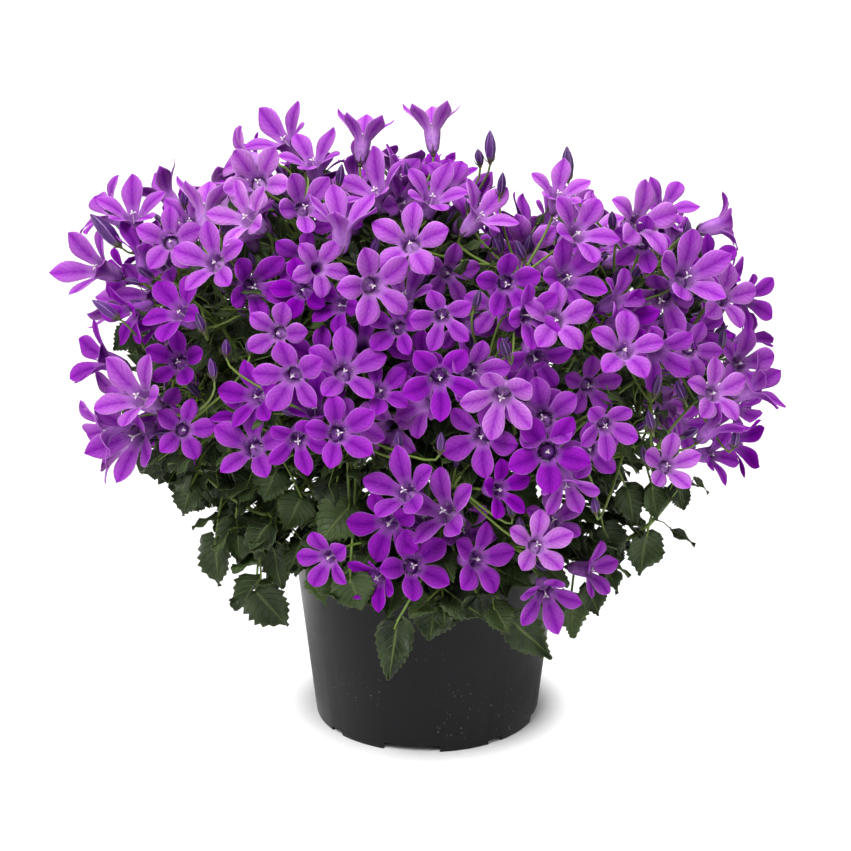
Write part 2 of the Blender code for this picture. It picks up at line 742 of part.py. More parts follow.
def place_skeleton(heads):
    """The leafy stems with their forks, and the stalks of the flower heads."""
    groups, starts = plan_stems(heads)
    stems = []
    for k, (group, start) in enumerate(zip(groups, starts)):
        name = f"leafy_stem_{k + 1:02d}"
        ground = Vector((start.x, start.y, SOIL_TOP))
        feet = [heads[i].foot for i in group]
        middle = sum(feet, Vector()) / len(feet)
        rise = Vector((0.0, 0.0, 10.0 * MM))
        fork = ground + rise + (middle - ground - rise) * 0.35
        bottom = ground - Vector((0.0, 0.0, STEM_SINK))
        lines = [[bottom, ground + rise, fork]]
        placed.append(tube(name, lines[0], [STEM_RADIUS, STEM_RADIUS, STEM_RADIUS * 0.9], 4, "stem"))
        for i in group:
            head = heads[i]
            end = head.foot + head.inward * GAP
            best = None
            for bow in (0.0, 6.0, -6.0, 12.0, -12.0, 18.0, -18.0):
                side = head.inward.cross(Vector((0.0, 0.0, 1.0))).normalized()
                knee = fork.lerp(end, 0.5) + Vector((0, 0, 1)) * 4.0 * MM + side * bow * MM
                knee = knee.lerp(end + head.inward * 10.0 * MM, 0.35)
                back = fork - (fork - ground - rise).normalized() * 1.5 * MM
                line = [back, knee, end]
                piece = tube(name, line, [FORK_RADIUS * 1.1, FORK_RADIUS, FORK_RADIUS], 3, "stem")
                score = clashes(piece)
                if best is None or score < best[0]:
                    best = (score, piece, line)
                if score == 0:
                    break
            placed.append(best[1])
            lines.append(best[2])
        stems.append((name, lines, group))
        for i in group:
            head = heads[i]
            line = [head.foot, head.top]
            radii = [STALK_RADIUS, STALK_RADIUS * 0.8]
            placed.append(tube(head.name, line, radii, 3, "stem"))
    return stems


def joint_on(head, base, back=9.0 * MM):
    """Where a bloom's or bud's stalk joins its head's stalk."""
    axis = head.top - head.foot
    along = (base - head.foot).dot(axis.normalized()) - back
    along = min(max(along, 5.0 * MM), axis.length - 0.6 * MM)
    return head.foot + axis.normalized() * along


def best_of(options, need_clear):
    """The first option that is clear of other nodes, or the one that clashes least."""
    best = None
    for cost, piece in options:
        hits = clashes(piece)
        if (hits and need_clear) or piece.runs_through_itself():
            continue
        score = hits * 100.0 + crowding(piece) * 9.0 + cost
        if best is None or score < best[0]:
            best = (score, piece)
        if score <= cost + 9.0:
            break
    return best


def bloom_options(head, row):
    throat, facing, petal, size, plain = row
    steps = [(0, 0.0), (1, 3.0), (1, -3.0), (2, 6.0), (2, -6.0), (3, -10.0), (4, 10.0), (5, -15.0), (7, -21.0)]
    outward = -head.inward
    for shrink in (1.0, 0.93, 0.86):
        for swing in (0.0, 0.35, -0.35):
            for cost, shift in steps:
                turned = (facing + outward.cross(facing) * swing).normalized()
                move = TOWARD if throat.y < 0.0 else outward
                moved = throat + move * shift * MM
                base = moved - turned * TUBE_LENGTH * size * shrink / BLOOM_RADIUS
                total = cost + abs(swing) * 6.0 + (1.0 - shrink) * 30.0
                cross = flatten(petal, turned)
                joint = joint_on(head, base)
                yield total, bloom(head.name, moved, turned, cross, size * shrink, joint, plain)


def place_blooms(heads):
    order = [(row, head) for head in heads for row in head.rows]
    order.sort(key=lambda item: -(item[0][0] - HEART).length)
    for row, head in order:
        placed.append(best_of(bloom_options(head, row), False)[1])
    print("blooms", len(order))


def nearest_stem_point(stems, spot):
    """The closest point on any leafy stem's lines, with its stem."""
    best = None
    for name, lines, group in stems:
        for line in lines:
            for a, b in zip(line, line[1:]):
                for t in (0.15, 0.4, 0.65, 0.9):
                    point = a.lerp(b, t)
                    if point.z < SOIL_TOP + 4.0 * MM:
                        continue
                    distance = (point - spot).length
                    if best is None or distance < best[0]:
                        best = (distance, name, point)
    return best


def place_side_shoots(stems):
    for route in SIDE_SHOOTS:
        best = None
        for lift in (0.0, 4.0, 8.0, 12.0, 16.0, 20.0, 24.0):
            line = [from_view(column, row, (depth + lift) * MM) for column, row, depth in route]
            distance, name, joint = nearest_stem_point(stems, line[0])
            line = [joint] + line[1:]
            radii = [FORK_RADIUS * 0.9] * (len(line) - 1) + [FORK_RADIUS * 0.6]
            piece = tube(name, line, radii, 3, "stem")
            score = clashes(piece) * 100.0 + lift
            if best is None or score < best[0]:
                best = (score, piece, name, line)
        if best[0] >= 100.0:
            continue
        placed.append(best[1])
        for stem in stems:
            if stem[0] == best[2]:
                stem[1].append(best[3])


def low_leaf_options(stems, plan):
    """Solids of one hanging leaf, a little nearer or further, with its stalk led round on either side."""
    column, row, tip_column, tip_row, width, depth = plan
    for push in (0.0, 4.0, 8.0, 12.0, -4.0, 16.0, -8.0, 20.0):
        base = from_view(column, row, (depth + push) * MM)
        tip = from_view(tip_column, tip_row, (depth + push - 3.0) * MM)
        distance, name, joint = nearest_stem_point(stems, base + Vector((0, 0, 18.0 * MM)))
        outward = Vector((base.x, base.y, 0.0)).normalized()
        for aside in (0.0, 7.0, -7.0):
            over = joint.lerp(base, 0.55) + RIGHT * aside * MM
            over.z = max(over.z + 5.0 * MM, POT_HEIGHT + 5.0 * MM)
            for turn in (0.0, 0.4, -0.4, 0.8, -0.8):
                face = (outward * 0.6 + TOWARD * 0.9 + Vector((turn, 0, 0))).normalized()
                cost = abs(push) + abs(turn) + abs(aside)
                yield cost, leaf(name, base, tip, face, width * METRES_PER_PIXEL, joint, over)


def place_low_leaves(stems):
    """The leaves seen hanging below the blooms, over the pot's rim and at the sides."""
    count = 0
    for plan in LOW_LEAVES:
        found = best_of(low_leaf_options(stems, plan), True)
        if found:
            placed.append(found[1])
            count += 1
    print("low leaves", count, "of", len(LOW_LEAVES))


def place_stem_leaves(stems):
    """Leaves along the forks, under the blooms, spread round each fork in turn."""
    count = 0
    for name, lines, group in stems:
        for f, line in enumerate(lines[1:len(group) + 1]):
            for t in (0.35, 0.75) if f == 2 else (0.6,):
                start, end = (line[0], line[1]) if t < 0.5 else (line[1], line[2])
                joint = start.lerp(end, 0.55)
                along = (line[2] - line[0]).normalized()
                found = None
                for attempt in range(10):
                    turn = rng.uniform(0.0, math.tau)
                    side = flatten(Vector((math.cos(turn), math.sin(turn), 0.15)), along)
                    reach = rng.uniform(9.0, 14.0) * MM
                    way = (side + along * 0.5).normalized()
                    base = joint + way * reach
                    size = rng.uniform(18.0, 24.0) * MM
                    tip = base + (side * 0.9 + along * 0.2 - Vector((0, 0, 0.25))).normalized() * size
                    face = (along * 0.6 + Vector((0, 0, 0.8))).normalized()
                    if base.z < 92.0 * MM or tip.z < 92.0 * MM:
                        continue
                    piece = leaf(name, base, tip, face, size * 0.85, joint)
                    if clashes(piece) or piece.runs_through_itself():
                        continue
                    if crowding(piece) <= 1:
                        found = piece
                        break
                if found:
                    placed.append(found)
                    count += 1
    print("stem leaves", count)


def place_buds(heads):
    count = 0
    for column, row, tip_column, tip_row, layer in BUDS:
        depth = canopy_depth(column, row) + LAYERS[layer]
        options = []
        for push in (-6.0, -10.0, -2.0, -15.0, 3.0, -20.0):
            base = from_view(column, row, depth + push * MM)
            tip = from_view(tip_column, tip_row, depth + (push + 3.0) * MM)
            near = sorted(heads, key=lambda head: (head.top - base).length)[:3]
            for k, head in enumerate(near):
                width = max(3.4 * MM, (tip - base).length * 0.3)
                piece = bud(head.name, base, tip, width, joint_on(head, base))
                options.append((abs(push + 6.0) * 0.3 + k, piece))
        found = best_of(options, True)
        if found:
            placed.append(found[1])
            count += 1
    print("buds", count, "of", len(BUDS))


def pot_profile():
    """The pot's section, down its outer side and round under the floor, up the inside."""
    floor = POT_WALL + 0.3 * MM
    inner_foot = BASE_RADIUS - 1.2 * MM
    channel = BASE_RADIUS - CHANNEL_WIDTH
    slope = (RIM_RADIUS - LIP_STEP - BASE_RADIUS) / (POT_HEIGHT - LIP_HEIGHT)
    top_inside = RIM_RADIUS - LIP_STEP - POT_WALL
    low_inside = top_inside - slope * (POT_HEIGHT - CHANNEL_HEIGHT - floor)
    outer = [(RIM_RADIUS, POT_HEIGHT), (RIM_RADIUS, POT_HEIGHT - LIP_HEIGHT)]
    outer += [(RIM_RADIUS - LIP_STEP, POT_HEIGHT - LIP_HEIGHT - 1.0 * MM), (BASE_RADIUS, 0.0)]
    under = [(inner_foot, 0.0), (inner_foot, CHANNEL_HEIGHT), (channel, CHANNEL_HEIGHT)]
    under += [(channel - 1.0 * MM, 0.0), (0.0, 0.0)]
    inside = [(0.0, floor), (channel - 1.6 * MM, floor), (channel - 0.6 * MM, CHANNEL_HEIGHT + floor)]
    inside += [(low_inside, CHANNEL_HEIGHT + floor), (top_inside, POT_HEIGHT)]
    return outer + under + inside, inside


def turned(name, profile, closed, mat, collection):
    """A shape turned round the upright axis from its section."""
    mesh = bpy.data.meshes.new(name)
    points = [(x, 0.0, z) for x, z in profile]
    edges = [(i, i + 1) for i in range(len(points) - 1)]
    if closed:
        edges.append((len(points) - 1, 0))
    mesh.from_pydata(points, edges, [])
    ob = bpy.data.objects.new(name, mesh)
    collection.objects.link(ob)
    screw = ob.modifiers.new("turn", "SCREW")
    screw.steps = POT_SIDES
    screw.render_steps = POT_SIDES
    screw.use_merge_vertices = True
    screw.merge_threshold = 1e-5
    screw.use_normal_calculate = False
    mesh.materials.append(mat)
    return ob


def hide_cutter(ob):
    ob.hide_render = True
    ob.display_type = "WIRE"


def cut(target, tool):
    modifier = target.modifiers.new("cut_" + tool.name, "BOOLEAN")
    modifier.operation = "DIFFERENCE"
    modifier.solver = "EXACT"
    modifier.object = tool


def make_pot(parts, cutters):
    profile, inside = pot_profile()
    pot = turned("pot", profile, True, material("pot_plastic", (0.022, 0.022, 0.026), 0.5), parts)
    for i in range(8):
        wide = i % 2 == 0
        turn = SLOT_TURN + math.tau * i / 8
        width = WIDE_SLOT if wide else NARROW_SLOT
        height = CHANNEL_HEIGHT - 0.4 * MM if wide else 2.2 * MM
        bpy.ops.mesh.primitive_cube_add(size=1.0)
        slot = bpy.context.object
        slot.name = f"slot_{i + 1}"
        slot.scale = (6.0 * MM, width, height * 2.0)
        slot.rotation_euler = (0.0, 0.0, turn)
        slot.location = (math.cos(turn) * BASE_RADIUS, math.sin(turn) * BASE_RADIUS, 0.0)
        move_to(slot, cutters)
        cut(pot, slot)
        if wide:
            bpy.ops.mesh.primitive_cylinder_add(vertices=8, radius=DRAIN_RADIUS, depth=8.0 * MM)
            drain = bpy.context.object
            drain.name = f"drain_{i + 1}"
            away = BASE_RADIUS - 0.5 * CHANNEL_WIDTH - 0.4 * MM
            drain.location = (math.cos(turn) * away, math.sin(turn) * away, CHANNEL_HEIGHT + 0.6 * MM)
            move_to(drain, cutters)
            cut(pot, drain)
    return pot


def move_to(ob, collection):
    for col in list(ob.users_collection):
        col.objects.unlink(ob)
    collection.objects.link(ob)
    hide_cutter(ob)


def make_soil(parts, cutters, stems):
    """The root ball, which fills the pot to just under its rim, with a hole for each stem."""
    profile, inside = pot_profile()
    low = inside[3]
    high = inside[4]
    share = (SOIL_TOP - low[1]) / (high[1] - low[1])
    edge = low[0] + (high[0] - low[0]) * share - GAP * 1.3
    section = [(0.0, SOIL_TOP + 1.0 * MM), (edge * 0.8, SOIL_TOP + 0.6 * MM), (edge, SOIL_TOP)]
    section += [(low[0] - GAP * 1.3, low[1] + GAP), (inside[2][0] - GAP * 1.5, low[1] + GAP)]
    section += [(inside[1][0] - GAP * 1.5, inside[1][1] + GAP), (0.0, inside[1][1] + GAP)]
    soil = turned("root_ball", section, False, material("potting_soil", (0.035, 0.022, 0.014), 0.95), parts)
    for name, lines, group in stems:
        ground = lines[0][0]
        bpy.ops.mesh.primitive_cylinder_add(vertices=6, radius=STEM_RADIUS + 0.6 * MM, depth=30.0 * MM)
        hole = bpy.context.object
        hole.name = "hole_" + name
        hole.location = (ground.x, ground.y, SOIL_TOP - STEM_SINK - GAP + 15.0 * MM)
        move_to(hole, cutters)
        cut(soil, hole)
    return soil


def join_node(node, parts, finishes):
    """All pieces of a node joined by one Boolean union, as one closed body."""
    own = [piece for piece in placed if piece.node == node]
    names = sorted({piece.finish for piece in own})
    work = bpy.data.collections.new("work_" + node)
    bpy.context.scene.collection.children.link(work)
    obs = []
    for piece in own:
        mesh = bpy.data.meshes.new(node)
        mesh.from_pydata(piece.points, [], piece.faces)
        for finish in names:
            mesh.materials.append(finishes[finish])
        for polygon in mesh.polygons:
            polygon.material_index = names.index(piece.finish)
        obs.append(bpy.data.objects.new(node, mesh))
    main = obs[0]
    bpy.context.scene.collection.objects.link(main)
    for ob in obs[1:]:
        work.objects.link(ob)
    if len(obs) > 1:
        union = main.modifiers.new("join", "BOOLEAN")
        union.operation = "UNION"
        union.solver = "MANIFOLD"
        union.operand_type = "COLLECTION"
        union.collection = work
        union.use_self = True
    depsgraph = bpy.context.evaluated_depsgraph_get()
    mesh = bpy.data.meshes.new_from_object(main.evaluated_get(depsgraph))
    for ob in obs:
        bpy.data.objects.remove(ob, do_unlink=True)
    bpy.data.collections.remove(work)
    keep_one_body(mesh)
    mesh.name = node
    ob = bpy.data.objects.new(node, mesh)
    parts.objects.link(ob)
    return ob


def keep_one_body(mesh):
    """Loose scraps and sealed hollows are dropped, and faces are made triangles."""
    bm = bmesh.new()
    bm.from_mesh(mesh)
    bmesh.ops.dissolve_limit(bm, angle_limit=0.002, verts=bm.verts, edges=bm.edges)
    bmesh.ops.triangulate(bm, faces=bm.faces)
    left = set(bm.verts)
    bodies = []
    while left:
        seed = left.pop()
        body = {seed}
        edge = [seed]
        while edge:
            vert = edge.pop()
            for link in vert.link_edges:
                other = link.other_vert(vert)
                if other not in body:
                    body.add(other)
                    edge.append(other)
        left -= body
        bodies.append(body)
    bodies.sort(key=len, reverse=True)
    dropped = [vert for body in bodies[1:] for vert in body]
    bmesh.ops.delete(bm, geom=dropped, context="VERTS")
    bm.to_mesh(mesh)
    bm.free()


def add_pot_guard():
    """The pot's outside and the soil's top, so that stems and leaves stay clear of them."""
    bm = bmesh.new()
    bmesh.ops.create_cone(
        bm, cap_ends=False, segments=POT_SIDES, radius1=BASE_RADIUS, radius2=RIM_RADIUS + 0.3 * MM,
        depth=POT_HEIGHT, matrix=Matrix.Translation((0.0, 0.0, POT_HEIGHT / 2)),
    )
    bmesh.ops.create_cone(
        bm, cap_ends=False, segments=POT_SIDES, radius1=BASE_RADIUS - 2 * POT_WALL,
        radius2=RIM_RADIUS - LIP_STEP - 2 * POT_WALL, depth=POT_HEIGHT,
        matrix=Matrix.Translation((0.0, 0.0, POT_HEIGHT / 2)),
    )
    bmesh.ops.triangulate(bm, faces=bm.faces)
    points = [v.co.copy() for v in bm.verts]
    faces = [[v.index for v in f.verts] for f in bm.faces]
    bm.free()
    placed.append(Piece("pot", points, faces, "pot"))


def main():
    start_clean()
    parts = new_collection("potted_campanula")
    cutters = new_collection("cutters")
    finishes = {
        "petal": material("petals", (0.42, 0.10, 0.75), 0.6),
        "stem": material("stems", (0.20, 0.33, 0.05), 0.6),
        "leaf": material("leaves", (0.045, 0.085, 0.035), 0.65),
        "bud": material("buds", (0.10, 0.03, 0.20), 0.6),
    }
    make_pot(parts, cutters)
    front = front_blooms()
    rows = front + rear_blooms(front)
    groups = clusters([row[0] for row in rows], HEAD_COUNT)
    heads = [Head(i + 1, group, rows) for i, group in enumerate(groups) if group]
    add_pot_guard()
    stems = place_skeleton(heads)
    place_side_shoots(stems)
    place_blooms(heads)
    place_low_leaves(stems)
    place_buds(heads)
    place_stem_leaves(stems)
    make_soil(parts, cutters, stems)
    nodes = [head.name for head in heads] + [name for name, lines, group in stems]
    plant = [join_node(node, parts, finishes) for node in nodes]
    print("triangles in the plant", sum(len(ob.data.polygons) for ob in plant))


main()
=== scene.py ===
# %% [markdown]
# # A potted campanula in bloom
# A campanula, or bellflower, grows as a dense dome of violet bells over toothed leaves. This one stands
# in a plain black nursery pot. This file dresses the plain solids of the part: it grows fine petals,
# hairs, veins, buds and leaves where the solids have their plain ones, gives each surface its finish, and
# lights it.
#
# ## The tools and the solids
# The solids come in first and are the measure for everything after. Their outer size is kept for the end.

# %% Load the solids
import json
import math
import random
from collections import namedtuple

import bmesh
import bpy
from mathutils import Matrix, Vector, noise
from mathutils.bvhtree import BVHTree

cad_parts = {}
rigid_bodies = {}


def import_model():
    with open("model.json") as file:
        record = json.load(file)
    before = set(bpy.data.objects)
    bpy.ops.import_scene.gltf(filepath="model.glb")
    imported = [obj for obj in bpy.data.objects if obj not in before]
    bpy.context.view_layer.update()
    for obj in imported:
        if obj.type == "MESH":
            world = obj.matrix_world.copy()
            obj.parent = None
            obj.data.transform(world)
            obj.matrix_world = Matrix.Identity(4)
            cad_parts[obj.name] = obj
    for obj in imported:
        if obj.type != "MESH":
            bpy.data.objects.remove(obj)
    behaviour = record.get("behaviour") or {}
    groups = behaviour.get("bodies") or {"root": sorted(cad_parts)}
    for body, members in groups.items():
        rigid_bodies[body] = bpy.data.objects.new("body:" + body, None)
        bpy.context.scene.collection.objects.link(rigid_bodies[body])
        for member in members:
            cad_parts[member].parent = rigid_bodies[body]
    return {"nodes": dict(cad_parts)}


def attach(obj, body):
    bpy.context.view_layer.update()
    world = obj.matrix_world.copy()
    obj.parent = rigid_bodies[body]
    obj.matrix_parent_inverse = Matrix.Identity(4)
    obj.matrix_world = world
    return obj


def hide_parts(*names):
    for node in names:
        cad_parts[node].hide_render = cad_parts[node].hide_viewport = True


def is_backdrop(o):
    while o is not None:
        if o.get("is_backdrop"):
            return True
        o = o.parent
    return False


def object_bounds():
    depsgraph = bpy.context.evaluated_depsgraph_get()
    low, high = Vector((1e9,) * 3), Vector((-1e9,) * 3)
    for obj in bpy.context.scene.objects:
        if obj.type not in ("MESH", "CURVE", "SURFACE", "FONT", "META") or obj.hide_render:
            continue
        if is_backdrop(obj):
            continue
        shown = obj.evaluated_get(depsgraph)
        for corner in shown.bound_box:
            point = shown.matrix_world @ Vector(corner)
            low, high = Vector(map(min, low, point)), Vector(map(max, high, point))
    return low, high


MM = 0.001
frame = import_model()
first_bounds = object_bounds()
print("solids:", len(frame["nodes"]))

# %% [markdown]
# ## The camera
# The photograph looks down at the plant by about 20 degrees, from far enough that the pot's sides hardly
# converge. A pixel is worth 0.476 mm at the plant's middle, which follows from a pot 13 cm wide at the
# rim. The camera is placed first, because the dome of blooms and the gaps in it are told in picture
# positions.

# %% The view
PICTURE_SIZE = 851
PICTURE_MIDDLE = PICTURE_SIZE / 2
SENSOR_WIDTH = 36.0
METRES_PER_PIXEL = 0.476 * MM
VIEW_DISTANCE = 1.5
VIEW_TILT = math.radians(20.0)
VIEW_POINT = Vector((-0.7 * MM, 0.0, 146.0 * MM))
RIGHT = Vector((1.0, 0.0, 0.0))
UP = Vector((0.0, math.sin(VIEW_TILT), math.cos(VIEW_TILT)))
TOWARD = Vector((0.0, -math.cos(VIEW_TILT), math.sin(VIEW_TILT)))

scene = bpy.context.scene


def add_object(name, data):
    ob = bpy.data.objects.new(name, data)
    scene.collection.objects.link(ob)
    return ob


view = bpy.data.cameras.new("photo_view")
view.sensor_width = SENSOR_WIDTH
view.lens = SENSOR_WIDTH * VIEW_DISTANCE / (PICTURE_SIZE * METRES_PER_PIXEL)
view.clip_start = 0.01
camera = add_object("photo_view", view)
camera.location = VIEW_POINT + TOWARD * VIEW_DISTANCE
camera.rotation_euler = (math.radians(90.0) - VIEW_TILT, 0.0, 0.0)
scene.camera = camera
print("lens:", round(view.lens, 1), "mm")

# %% [markdown]
# ## The plan of the plant
# A campanula is one shape repeated: bells on stalks, stalks on stems, stems in soil. The plain solids of
# this part were laid out by a plan. A table says where each bloom is seen in the photograph, a dome says
# how far forward it stands, and a seeded rule covers the back. The tables here are the outcome of that
# plan, in millimetres and degrees, so each fine bell sits exactly where its plain one is. The other way,
# to read the places back from the meshes of the solids, would lose which triangle belongs to which bell.

# %% Sizes of the pot
RIM_RADIUS = 65.0 * MM
POT_HEIGHT = 88.0 * MM
LIP_HEIGHT = 3.6 * MM
LIP_STEP = 1.4 * MM
BASE_RADIUS = 54.0 * MM
POT_WALL = 1.3 * MM
CHANNEL_HEIGHT = 4.0 * MM
CHANNEL_WIDTH = 7.5 * MM
SLOT_TURN = math.radians(-98.0)
WIDE_SLOT = 27.0 * MM
NARROW_SLOT = 8.0 * MM
DRAIN_RADIUS = 2.2 * MM
SOIL_TOP = 80.0 * MM
GAP = 0.3 * MM

# %% Leafy stems: place in the soil, place of the fork
STEMS = [
    (-40.9, -8.7, -58.4, -12.4, 125.1), (32.9, 20.9, 47, 29.9, 105.3), (13.1, -23.2, 18, -33.4, 97.8),
    (4, 17.2, 5.7, 24.6, 126.2), (31, -15, 44.3, -21.4, 124.1), (-40.8, 13.1, -58.3, 18.7, 109.6),
    (-9.1, -20.4, -12.1, -29.8, 130.3), (1.1, -28.4, 1.3, -39.7, 103.4), (16, 25.3, 22.8, 36.2, 107.7),
    (44.4, 6, 63.4, 8.6, 115.3), (-7.3, 25.5, -10.4, 36.4, 109.9), (-29, 19.4, -41.4, 27.8, 126.6),
]

# %% Flower heads: stem, knee of the fork, foot and top of the stalk; and side shoots: stem, four points
HEADS = [
    (1, -82, -15, 177, -96.6, -16.6, 202.6, -113.7, -19.6, 219.3),
    (10, 83, 6, 134, 97.2, 5.5, 140.5, 120, 6.8, 148.1),
    (8, -3, -43, 113, -6.1, -50.5, 115.1, -8.9, -74.1, 118.4),
    (11, -4, 46, 133, -0.3, 55.3, 143.4, -0.4, 75.5, 156.3),
    (5, 37, -38, 187, 35.4, -48.9, 217.8, 42.1, -58.2, 238.8),
    (4, 27, 31, 165, 39.5, 36.3, 183.8, 49.7, 45.7, 203.4),
    (6, -82, 12, 128, -98.9, 9.2, 134.2, -122, 11.3, 140.3),
    (5, 43, -48, 146, 45, -64.3, 155.9, 56.8, -81.1, 168.4),
    (5, 73, -16, 183, 90.8, -13.9, 211.9, 106.5, -16.3, 229.9),
    (7, -28, -53, 156, -37.6, -68.4, 167.7, -46.7, -85.1, 182.3),
    (12, -61, 43, 162, -73.3, 52.2, 178.2, -88.8, 63.1, 193),
    (4, -9, 44, 169, -16.9, 56.6, 190.7, -20.9, 70, 210.2),
    (2, 63, 36, 117, 75.3, 42, 119.7, 96.1, 53.5, 122.9),
    (7, -36, -23, 201, -49.3, -20.4, 236.8, -57.8, -24, 259),
    (1, -77, -32, 149, -90.3, -42.9, 158.6, -109.7, -52.1, 169.4),
    (6, -65, 38, 128, -72.5, 49.7, 134.2, -91.5, 62.7, 141.1),
    (4, 2, 17, 179, 0.3, 13.4, 206, 0.4, 16.7, 229.7),
    (3, 23, -43, 110, 27.3, -52.3, 112.4, 38.4, -73.5, 114.2),
    (7, 10, -52, 167, 21.7, -66.6, 185.3, 26.7, -81.9, 203.1),
    (9, 30, 47, 131, 35.5, 56.3, 140.5, 47, 74.5, 151),
    (1, -58, -31, 181, -60.5, -41.4, 208.7, -72.2, -49.3, 228.1),
    (5, 78, -23, 161, 98.1, -25.7, 178.4, 117.2, -30.6, 192.1),
    (5, 49, -4, 174, 54, 5.2, 198.4, 66.3, 6.4, 219),
    (5, 61, -30, 176, 72.8, -36.1, 201.4, 86.9, -43.1, 219.5),
    (10, 85, 17, 162, 100.2, 21.3, 184, 119, 25.4, 198.3),
    (11, -24, 48, 138, -32.2, 58.1, 150.3, -42, 75.9, 163.1),
    (8, 6, -57, 130, 9.6, -70.7, 141.3, 12.5, -92.2, 151.5),
    (7, -11, -28, 198, -10.2, -29, 232.5, -12.2, -34.5, 255.8),
    (7, -12, -43, 179, -12.6, -51.5, 203.6, -15.3, -62.8, 224.6),
    (6, -84, 24, 151, -100.7, 28.4, 169.5, -120.6, 34, 181.7),
    (1, -86, -9, 152, -104.1, -8.2, 163.7, -125.2, -9.8, 175),
    (12, -49, 31, 183, -55.6, 34.3, 211, -66.6, 41, 231.2),
    (4, 10, 38, 171, 12.4, 46.6, 193.3, 15.4, 58.1, 214.2),
    (2, 60, 42, 135, 71, 51, 147.7, 88.8, 63.7, 157.7),
    (1, -86, 4, 187, -103.2, 12.7, 217.2, -119.7, 14.7, 234.6),
    (5, 69, -39, 142, 86, -49.3, 148.5, 105.3, -60.4, 157.5),
]
SIDE_SHOOTS = [
    (1, -57, -12, 122, -73, -26, 111, -91, -18, 115, -105, -10, 124),
    (5, 40, -19, 112, 78, -31, 97, 101, -21, 100, 116, -12, 113),
]

